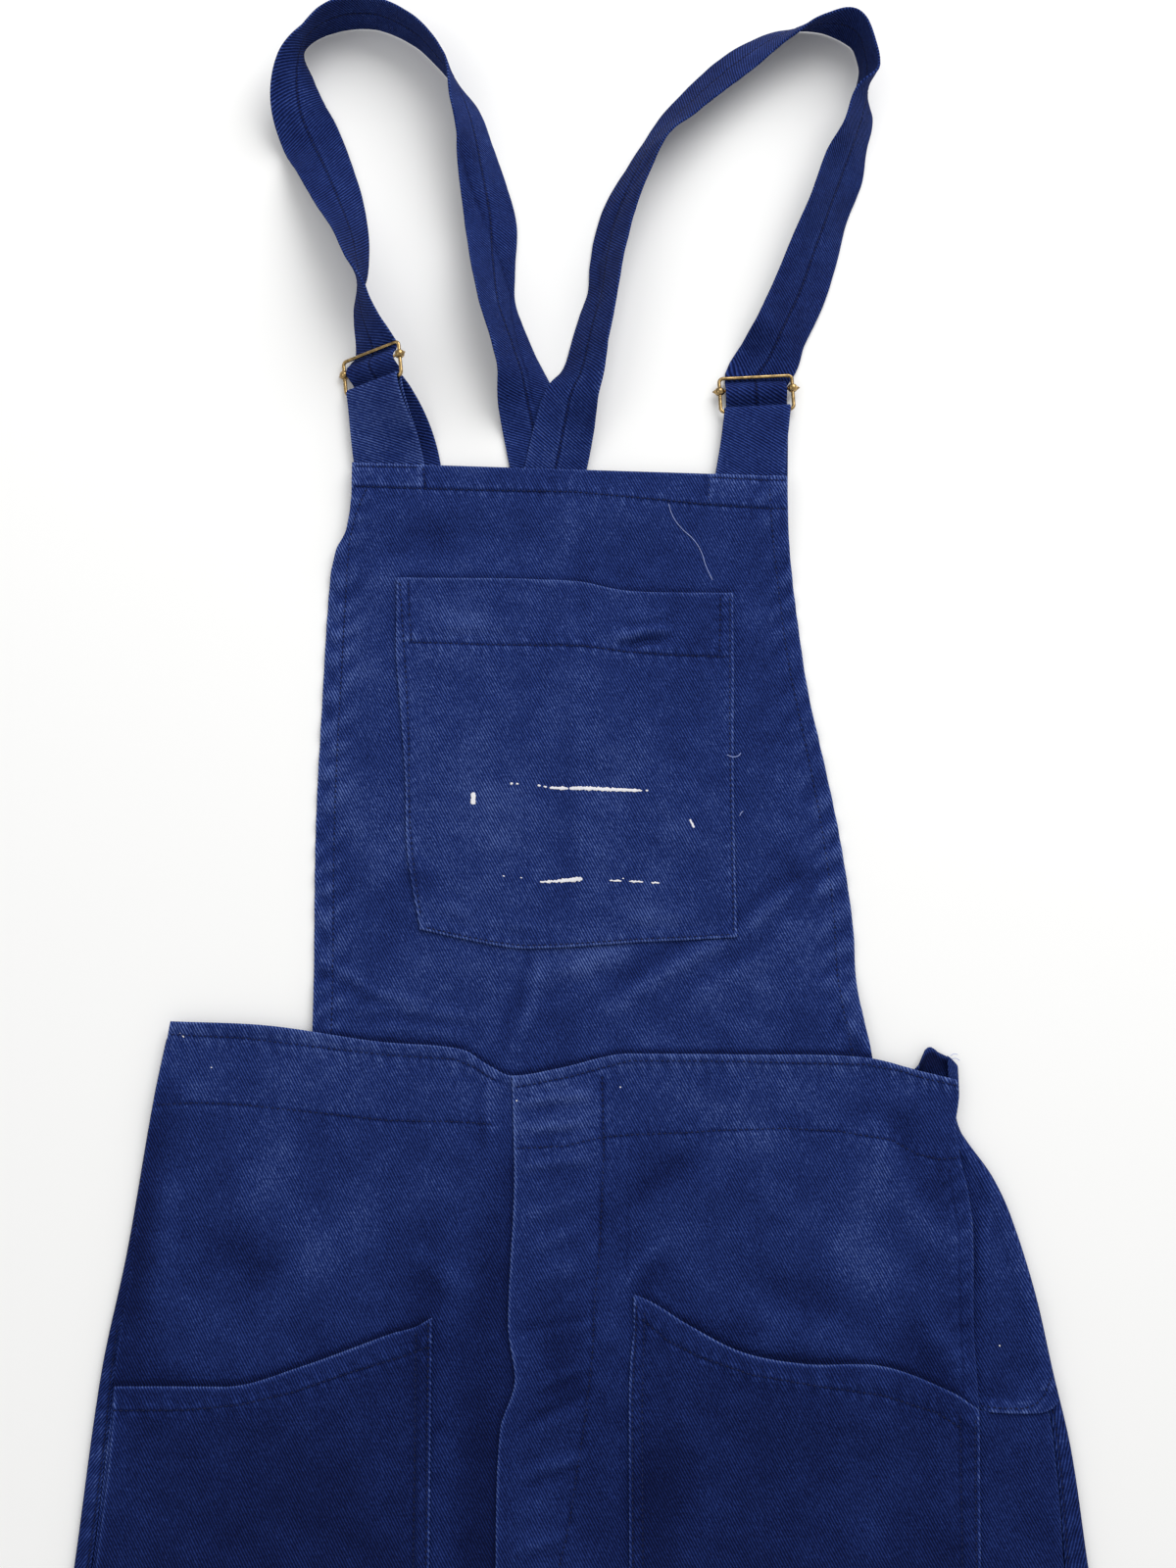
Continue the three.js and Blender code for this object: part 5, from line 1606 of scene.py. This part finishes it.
LOOP_FEET = {"right": (-110, 357), "left": (102.5, 351)}
# How far past the buckle's middle, and how high, as the strap weaves through it.
WEAVE = [
    (-9.8, 0.9), (-8, 1.6), (-5.6, 4.2), (-BAR_OFFSET - 1.2, OVER_BAR),
    (-BAR_OFFSET + 1.2, OVER_BAR), (1.4, 4), (4, 0.9), (6.2, 0), (11, 0),
]


# %% A strap's line
def strap_route(side):
    """The whole route as arrays: x, y, lean, lift and up at each of its places."""
    buckle = BUCKLES[side]
    middle, _, along, _ = buckle_frame(buckle)
    weave = [(*(middle - along * down)[:2], buckle["lean"], lift, buckle["up"]) for down, lift in WEAVE]
    plain = [[(*row, 0) for row in rows] for rows in (ROUTES[side], TAILS[side])]
    return np.array([*plain[0], *weave, *plain[1]], float)


def strap_line(side, at):
    """The strap's middle, across, normal and lift at places along its route."""
    route = strap_route(side)
    plan = through(route[:, :2], at)
    heading = unit(np.gradient(plan, axis=0))
    count = np.arange(len(route))
    lean, lift, up = (curve(*zip(count, route[:, c]))(at) for c in (2, 3, 4))
    middle, across, normal = ribbon_frame(plan[:, 0], plan[:, 1], heading, lean, up)
    return middle, across, normal, lift


# %% Across a strap
ROUTE_SAMPLES = 1200
STITCH_DIP = 0.2
HELD_FLAT = 150  # the strap's last stretch, which the buckle and the bib hold flat


def across_band(width, step):
    """Places across a band of cloth, from one edge to the other, with 0 in its middle."""
    weight, offset = columns(width, step)
    return width * (weight - 0.5) + offset


strap_across = across_band(STRAP_WIDTH, 1.6)
# Where the inner run of a strap has been pressed double: place on the route, and across.
PRESSED = {
    "right": [(12.8, 17), (11, 4), (9.3, -15), (8, -6), (6, -3)],
    "left": [(17, -17), (15.4, -3), (13, 8), (11, 2)],
}

# %% Shoulder straps
shoulder_straps, strap_stitching = {}, {}
for number, side in enumerate(OUTWARD):
    places = np.linspace(0, len(strap_route(side)) - 1, ROUTE_SAMPLES)
    run = run_along(strap_line(side, places)[0])
    length = run[-1]
    spaced = stations(length, 2.1)
    middle, across, normal, lift = strap_line(side, np.interp(spaced, run, places))
    s, t = np.meshgrid(spaced, strap_across, indexing="ij")
    groove = 0.3 * bell(t, 1.2)
    pucker = 0.1 * np.sin(2 * np.pi * s / 7.3 + 0.9 * np.sin(s / 9)) * bell(np.abs(t) - 3.5, 3)
    free = smooth(5, 40, s) * (1 - smooth(0, 20, s - length + HELD_FLAT))
    wave = free * (0.35 * rumple(s, t, 60, 71 + number) + 0.12 * rumple(s, t, 15, 73 + number))
    half = STRAP_WALL / 2 - groove
    fold = [(np.interp(place, places, run), over) for place, over in PRESSED[side]]
    off, _ = nearest(fold, s, t)
    pressed = smooth(-6, 10, s - fold[-1][0]) * (1 - smooth(-10, 6, s - fold[0][0]))
    wave = wave - 0.9 * pressed * bell(off, 5)
    grid = (
        middle[:, None] + across[:, None] * t[..., None]
        + normal[:, None] * (lift[:, None] + wave + pucker)[..., None]
    )
    tone = 0.4 + 0.1 * (1 - smooth(380, 470, s)) - 0.05 * smooth(500, 570, s) * (side == "left")
    # Painted shadow along the centre seam where the folded edges meet, with paler ridges beside it; the
    # edges are worn pale, and the pressed fold gets painted shade.
    tone = tone + 0.08 * bell(np.abs(t) - 2, 1.0) - 0.3 * bell(t, 0.9)
    tone = tone + 0.1 * bell(STRAP_WIDTH / 2 - np.abs(t), 1.6) - 0.22 * pressed * bell(off, 0.9)
    tone = tone + 0.04 * rumple(s, t, 50, 75 + number) + 0.03 * rumple(s, t, 12, 76)
    uv = np.stack([t, s], axis=2)
    shoulder_straps[side] = shell(f"twill_strap_{side}", grid, half, half, uv, tone, strap_twill)
    beads = []
    row = np.arange(8, length - 8, STITCH_PITCH)
    for face in (1, -1):
        ends = []
        for shift in READ_AT:
            where = np.interp(row + shift * STITCH_LENGTH, run, places)
            on_line, _, out, up = strap_line(side, where)
            height = up + np.interp(row, spaced, (wave + pucker)[:, len(strap_across) // 2])
            ends.append(on_line + out * (height + face * (STRAP_WALL / 2 - STITCH_DIP))[:, None])
        beads.append(stitch_points(*ends, face * out))
    strap_stitching[side] = topstitching(f"strap_stitching_{side}", beads)
    print(f"strap {side}: {length:.0f} mm long")


# %% The shape of a strap loop
def loop_grid(side):
    """Up under the frame's lower bar, half a turn round it, and down in front to the
    bib's hem, taking up the buckle's lean on the way."""
    buckle, foot = BUCKLES[side], np.array(LOOP_FEET[side], float)
    middle, _, along, _ = buckle_frame(buckle)
    bar = middle - along * FRAME_HALF_HEIGHT
    first = unit(foot - bar[:2])
    rise, turn = np.linspace(0, 1, 42), np.linspace(0, np.pi, 12)[1:-1]
    t = np.concatenate([rise, 1 + 0 * turn, rise[::-1]])
    down = mix(LOOP_FRONT_AT_HEM, WIRE_LIFT + LOOP_TURN, smooth(0.1, 1, rise[::-1]))
    lift = np.concatenate([LOOP_BACK + 0 * rise, WIRE_LIFT - LOOP_TURN * np.cos(turn), down])
    past = np.concatenate([0 * rise, LOOP_TURN * np.sin(turn), 0 * rise])
    heading = unit(mix(first[None], -along[None, :2], smooth(0, 1, t)[:, None]))
    turned = smooth(0.15, 0.95, t)
    x = mix(foot[0], bar[0], t) + past * along[0]
    y = mix(foot[1], bar[1], t) + past * along[1]
    line, side_on, out = ribbon_frame(x, y, heading, buckle["lean"] * turned, buckle["up"] * turned)
    across = across_band(LOOP_WIDTH, 1.7)
    spread = 1 + 0.06 * (1 - smooth(0, 0.7, t))
    run = run_along(line + out * lift[:, None])
    front = smooth(0.55, 0.8, np.linspace(0, 1, len(t)))[:, None]
    s, c = np.meshgrid(run, across, indexing="ij")
    c = c * spread[:, None]
    bulge = 0.5 * bell(s - run[-1] + 18, 22) * np.cos(c / 13) + 0.15 * rumple(s, c, 18, 81)
    bulge = np.maximum(front * bulge * smooth(0, 8, run[-1] - s), -0.05)
    height = (lift[:, None] + bulge)[..., None]
    grid = line[:, None] + side_on[:, None] * c[..., None] + out[:, None] * height
    return grid, np.stack([c, s], axis=2)


# %% Strap loops
strap_loops = {}
for side in OUTWARD:
    grid, uv = loop_grid(side)
    across, run = uv[..., 0], uv[..., 1]
    tone = (0.56 if side == "right" else 0.44) + 0.1 * bell(LOOP_WIDTH / 2 - np.abs(across), 1.6)
    tone = tone + 0.05 * rumple(run, across, 24, 82)
    strap_loops[side] = shell(
        f"twill_loop_{side}", grid, LOOP_WALL / 2, LOOP_WALL / 2, uv, tone, strap_twill,
    )

# %% [markdown]
# ## Brass buckles
#
# A drawn brass wire bent into a rounded rectangle and closed, and a sliding bar with a
# pointed bead at each end that grips the side wires. Brass that was tumbled and then
# carried about for years is bright where it rubs and brown where it has tarnished; the
# colour is in its reflection, so it is fully metallic, with the default index of
# refraction. The tarnish lies in patches of about 4 mm, and the drawn wire has a grain of
# about 0.5 mm.
#
# A bevelled curve would do for the wire, but it pinches at tight corners. A round section
# carried along quarter circles stays round, and the bar and its beads are turned shapes.

# %% Brass
brass, tree, out = new_material("tumbled_brass_wire")
place = node(tree, "TexCoord").outputs["Object"]
tarnish = node(tree, "TexNoise", {"Vector": place, "Scale": 260.0, "Detail": 5.0, "Roughness": 0.65})
colour = node(tree, "ValToRGB", {"Fac": tarnish.outputs["Fac"]})
colour.color_ramp.elements[0].position, colour.color_ramp.elements[0].color = 0.3, linear("#5f4f33")
colour.color_ramp.elements[1].position, colour.color_ramp.elements[1].color = 0.62, linear("#bd9f6d")
dull = node(
    tree, "MapRange",
    {"Value": tarnish.outputs["Fac"], "From Min": 0.3, "From Max": 0.7, "To Min": 0.34, "To Max": 0.17},
)
drawn = node(tree, "TexNoise", {"Vector": place, "Scale": 1900.0, "Detail": 2.0})
bump = node(tree, "Bump", {"Height": drawn.outputs["Fac"], "Strength": 0.15, "Distance": 0.0001})
surface = node(
    tree,
    "BsdfPrincipled",
    {
        "Base Color": colour.outputs[0], "Metallic": 1.0, "Roughness": dull.outputs[0],
        "Normal": bump.outputs[0],
    },
)
tree.links.new(surface.outputs[0], out.inputs[0])


# %% The frame's wire
def grid_faces(rows, columns, closed_rows=False):
    """Four-cornered faces of a grid whose columns run round a section, and whose rows may
    join up as well."""
    i, j = np.meshgrid(np.arange(rows if closed_rows else rows - 1), np.arange(columns), indexing="ij")
    i2, j2 = (i + 1) % rows, (j + 1) % columns
    return np.stack(
        [c.ravel() for c in (i * columns + j, i * columns + j2, i2 * columns + j2, i2 * columns + j)],
        axis=1,
    )


def frame_wire():
    """A round section carried once round a rectangle with rounded corners, all in the
    buckle's own plane. The long sides bow out a little."""
    sides = 20
    turn = np.linspace(0, 2 * np.pi, sides, endpoint=False)
    corner = np.linspace(0, np.pi / 2, 9)
    middle, out = [], []
    for quarter in range(4):
        sign = (1 if quarter % 3 == 0 else -1, 1 if quarter < 2 else -1)
        angle = corner + quarter * np.pi / 2
        ray = np.stack([np.cos(angle), np.sin(angle)], axis=1)
        centre = np.array(
            [(FRAME_HALF_WIDTH - FRAME_CORNER) * sign[0], (FRAME_HALF_HEIGHT - FRAME_CORNER) * sign[1]]
        )
        middle.append(centre + FRAME_CORNER * ray)
        out.append(ray)
    middle, out = np.concatenate(middle), np.concatenate(out)
    ring = middle[:, None] + WIRE_RADIUS * np.cos(turn)[None, :, None] * out[:, None]
    z = np.broadcast_to(WIRE_RADIUS * np.sin(turn), ring.shape[:2])
    points = np.concatenate([ring, z[..., None]], axis=2).reshape(-1, 3)
    return points, grid_faces(len(middle), sides, True)


# %% The sliding bar
def turned_shape(profile, sides, axis):
    """The rings of a shape turned about one axis, from a profile of (place along, radius)
    rows that starts and ends on the axis, or closes on itself."""
    profile = np.asarray(profile, float)
    turn = np.linspace(0, 2 * np.pi, sides, endpoint=False)
    ring = np.stack(
        [
            np.broadcast_to(profile[:, :1], (len(profile), sides)),
            profile[:, 1:] * np.cos(turn),
            profile[:, 1:] * np.sin(turn),
        ],
        axis=2,
    )
    if axis == "y":
        ring = ring[..., [1, 0, 2]]
    return ring.reshape(-1, 3)


BEAD_HALF_LENGTH, BEAD_RADIUS, BEAD_END_RADIUS, BEAD_BORE = 2.3, 2.95, 1.4, 1.38
# The bead's point: how far out past its side, and the radius there.
POINT = [(0, 1.5), (0.7, 1.25), (1.5, 0.6), (2.2, 0.25)]
POINT_START, POINT_END = 2.2, 2.3


def bar_and_beads():
    """The sliding bar: a rod between the side wires, and on each wire a rounded bead with
    a bore for the wire and a point that faces out."""
    points, faces = [], []
    sides = 18
    tiny = 0.02

    def put(profile, axis, shift, closed):
        start = sum(len(p) for p in points)
        points.append(turned_shape(profile, sides, axis) + shift)
        faces.append(grid_faces(len(profile), sides, closed) + start)

    reach = FRAME_HALF_WIDTH - WIRE_RADIUS - GAP
    put(
        [(-reach, tiny), (-reach, BAR_RADIUS), (0, BAR_RADIUS), (reach, BAR_RADIUS), (reach, tiny)],
        "x", (0, BAR_OFFSET, 0), False,
    )
    bow = np.linspace(-1, 1, 13)
    swell = BEAD_RADIUS - BEAD_END_RADIUS
    bead = [(BEAD_HALF_LENGTH * b, BEAD_END_RADIUS + swell * (1 - b * b) ** 0.5) for b in bow]
    bead += [(BEAD_HALF_LENGTH * b, BEAD_BORE) for b in bow[::-3]]
    for sign in (-1, 1):
        put(bead, "y", (sign * FRAME_HALF_WIDTH, BAR_OFFSET, 0), True)
        start = FRAME_HALF_WIDTH + POINT_START
        tip = [(0, tiny), *POINT, (POINT_END, tiny)]
        put([(sign * (start + out), radius) for out, radius in tip], "x", (0, BAR_OFFSET, 0), False)
    return np.concatenate(points), np.concatenate(faces)


# %% Buckles
buckles = {}
for side in OUTWARD:
    middle, across, along, out = buckle_frame(BUCKLES[side])
    axes = np.stack([across, along, out])
    origin = middle + out * WIRE_LIFT
    for kind, (points, faces) in (("frame", frame_wire()), ("bar", bar_and_beads())):
        buckles[kind, side] = make_mesh(
            f"brass_buckle_{kind}_{side}", points @ axes + origin, faces, brass,
        )

# %% [markdown]
# ## What clings to the cloth
#
# The pocket carries thin white streaks of dried paste, and a few specks of lint lie about.
# One loose thread has come out of the bib's hem. Each is a thin skin or a fine tube just
# above the cloth it lies on. They could be a stain in the material, but dried paste has
# an edge and a rough, chalky face, and a thread casts a shadow. Both finishes are matt;
# the paste's specks are 0.8 mm apart and the lint's 1.1 mm.

# %% Paste and lint
paste = speckled(
    "dried_white_paste", 1300.0, "#b9bccb", "#fbf7f0", 0.8, detail=3.0, relief=(0.4, 0.0002)
)
lint = speckled("pale_cotton_lint", 900.0, "#6f82c4", "#b8c4ea", 0.8)

# %% Where the paste and the lint lie
# x and y of both ends, the widths there, and how ragged the edge is, as a share.
STREAKS = [
    (-15.5, 174.7, -4.6, 174.3, 1.3, 1.9, 0.35), (-3.9, 174.4, 12, 174.1, 1.9, 2.3, 0.3),
    (11, 174.1, 38.5, 172.8, 2.3, 1.5, 0.35), (-20.8, 119.2, -10, 119.7, 1.0, 1.6, 0.4),
    (-11, 119.8, 3.8, 121.0, 1.8, 2.7, 0.35), (19.5, 120.0, 26.4, 119.8, 0.7, 1.0, 0.6),
    (30.6, 119.6, 38.9, 119.3, 0.9, 0.9, 0.6), (43.6, 118.9, 48.4, 118.6, 0.9, 0.8, 0.6),
    (-59.8, 171.8, -59.9, 164.6, 2.6, 2.9, 0.15), (66.2, 155.8, 68.6, 150.8, 1.0, 1.3, 0.3),
    (-38.4, 177.0, -36.8, 176.9, 1.1, 1.0, 0.3), (-35, 176.9, -33.4, 176.8, 1.0, 1.0, 0.3),
    (-22.4, 176, -20.6, 175.8, 1.0, 1.1, 0.3), (-19, 175.4, -17, 175.1, 1.1, 1.2, 0.3),
    (40.6, 172.9, 42.1, 172.9, 1.0, 1.0, 0.3), (-42.4, 122.8, -41.2, 122.7, 0.7, 0.7, 0.3),
    (-32.2, 121.7, -31, 121.6, 0.6, 0.6, 0.3), (26.8, 121.2, 27.9, 121.1, 0.5, 0.5, 0.3),
]
SPECKS = [
    (-226.5, 32.3, -223.9, 29.7, 0.6, 0.7, 0.2), (-208.2, 12.9, -207.5, 12.4, 0.6, 0.6, 0.2),
    (-33.9, -5.9, -33.2, -6.4, 0.7, 0.7, 0.2), (25.1, 1.8, 25.8, 1.2, 0.7, 0.7, 0.2),
    (236.7, -141.4, 237.4, -142.1, 0.7, 0.7, 0.2),
]
SKIN = 0.11  # how thick a flake is along its middle


# %% Thin flakes
def flakes(name, rows, upper, material):
    """Thin ragged strips on a surface. Each is a grid along and across its line; its
    half width swings as rumple() does, and it ends in a point."""
    points, faces = [], []
    for number, (x0, y0, x1, y1, w0, w1, ragged) in enumerate(rows):
        run = math.hypot(x1 - x0, y1 - y0)
        s = np.linspace(0, 1, max(8, int(run * 4)))[:, None]
        t = np.array([-1, -0.5, 0, 0.5, 1])[None]
        swing = 1 + ragged * rumple(s * run + 31 * number, 2 * t, 1.3, 91)
        half = 0.5 * mix(w0, w1, s) * swing * np.sqrt(1 - (2 * s - 1) ** 12 * 0.96)
        x = mix(x0, x1, s) - (y1 - y0) / run * t * half
        y = mix(y0, y1, s) + (x1 - x0) / run * t * half
        z = upper(x, y)
        for lift in (SKIN, 0.01):
            start = sum(len(p) for p in points)
            points.append(np.stack([x, y, z + lift * (1 - 0.6 * t * t)], axis=2).reshape(-1, 3))
        count = s.size * t.size
        above = np.arange(count).reshape(s.size, t.size) + start - count
        below = above + count
        rim = np.concatenate([above[0], above[1:, -1], above[-1, -2::-1], above[-2:0:-1, 0]])
        under = rim + count
        following, under_next = np.roll(rim, -1), np.roll(under, -1)
        faces += [quads(above), quads(below)[:, ::-1]]
        faces.append(np.stack([following, rim, under, under_next], axis=1))
    return make_mesh(name, np.concatenate(points), np.concatenate(faces), material)


paste_streaks = flakes("paste_streaks", STREAKS, pocket_upper, paste)


def waist_upper(x, y):
    """The upper face of whichever piece the specks lie on."""
    fronts = np.where(x < -36, front_upper("right", x, y), front_upper("left", x, y))
    return np.where(x > 230, underlap_upper(x, y), fronts)


# These specks are as white as the paste, so they share its finish.
lint_specks = flakes("lint_specks", SPECKS, waist_upper, paste)


# %% Loose threads
def fine_thread(name, path, radius, upper, material):
    """A thread lying on a surface: a round section with six sides carried along it. It
    thins out over the first and last sixth of a step between points."""
    sides = 6
    at = np.linspace(0, len(path) - 1, 14 * len(path))
    plan = through(path, at)
    line = np.column_stack([plan, upper(plan[:, 0], plan[:, 1]) + radius + 0.08])
    run = unit(np.gradient(line, axis=0))
    side = unit(np.cross(UP, run))
    over = np.cross(run, side)
    taper = radius * np.clip(np.minimum(at, at[-1] - at) * 6 + 0.05, 0, 1)[:, None, None]
    turn = np.linspace(0, 2 * np.pi, sides, endpoint=False)[None, :, None]
    ring = line[:, None] + taper * (np.cos(turn) * side[:, None] + np.sin(turn) * over[:, None])
    return make_mesh(name, ring.reshape(-1, 3), grid_faces(len(at), sides), material)


loose_thread = fine_thread(
    "loose_thread",
    [
        (55, 346.5), (56.5, 341), (59, 336), (63.5, 330.5), (69, 325.5), (73, 320), (75.2, 315),
        (76.4, 310.5), (77.8, 306.5), (81, 299.5),
    ],
    0.17, bib_upper, lint,
)
# The two frayed ends stand 5 mm above the table, at the waist's corner on the wearer's left.
frays = [
    fine_thread(
        "frayed_end_upper", [(214, 19.2), (216.2, 20.4), (218.6, 20.0)], 0.16,
        lambda x, y: 5.2 + 0 * x, lint,
    ),
    fine_thread(
        "frayed_end_lower", [(214.5, 17.6), (217.2, 17.9), (219.6, 16.6)], 0.16,
        lambda x, y: 5.0 + 0 * x, lint,
    ),
    fine_thread(
        "thread_by_the_pocket", [(88, 194.2), (91.5, 192.9), (95, 193.6), (96.4, 195.4)], 0.2,
        lambda x, y: bib_upper(x, y) + 1.6, lint,
    ),
    fine_thread("thread_below_it", [(95.2, 158), (96.2, 160), (97.4, 161)], 0.2, bib_upper, lint),
]

# %% [markdown]
# ## What each piece is
#
# Every piece rides on the garment's one body and stands for its wall in the imported model.
# Its wall there is hidden. One function does both, so that no piece is left without.


def declare(piece, cad_node, with_pieces=()):
    """Puts the piece and those that go with it on the garment's body, and hides the wall it stands for.
    """
    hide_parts(cad_node)
    for part in (piece, *with_pieces):
        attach(part, "root")


# %% Bodies, and the walls they stand for
for side in OUTWARD:
    front, back, strap = front_panels[side], back_panels[side], shoulder_straps[side]
    declare(back, f"back_{side}", [back_stitching[side]])
    declare(front, f"front_{side}", [front_stitching[side]])
    declare(
        hip_pockets[side], f"hip_pocket_{side}",
        [hip_stitching[side]],
    )
    declare(
        strap, f"shoulder_strap_{side}",
        [strap_stitching[side]],
    )
    declare(strap_loops[side], f"strap_loop_{side}")
    for kind in ("frame", "bar"):
        buckle = buckles[kind, side]
        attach(buckle, "root")
        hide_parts(f"buckle_{kind}_{side}")
declare(
    side_underlap, "side_underlap_left",
    [underlap_stitching]
)
declare(
    bib, "bib",
    [bib_stitching, loose_thread],
)
declare(bib_pocket, "bib_pocket", [pocket_stitching, paste_streaks])
for bit in (lint_specks, *frays):
    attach(bit, "root")
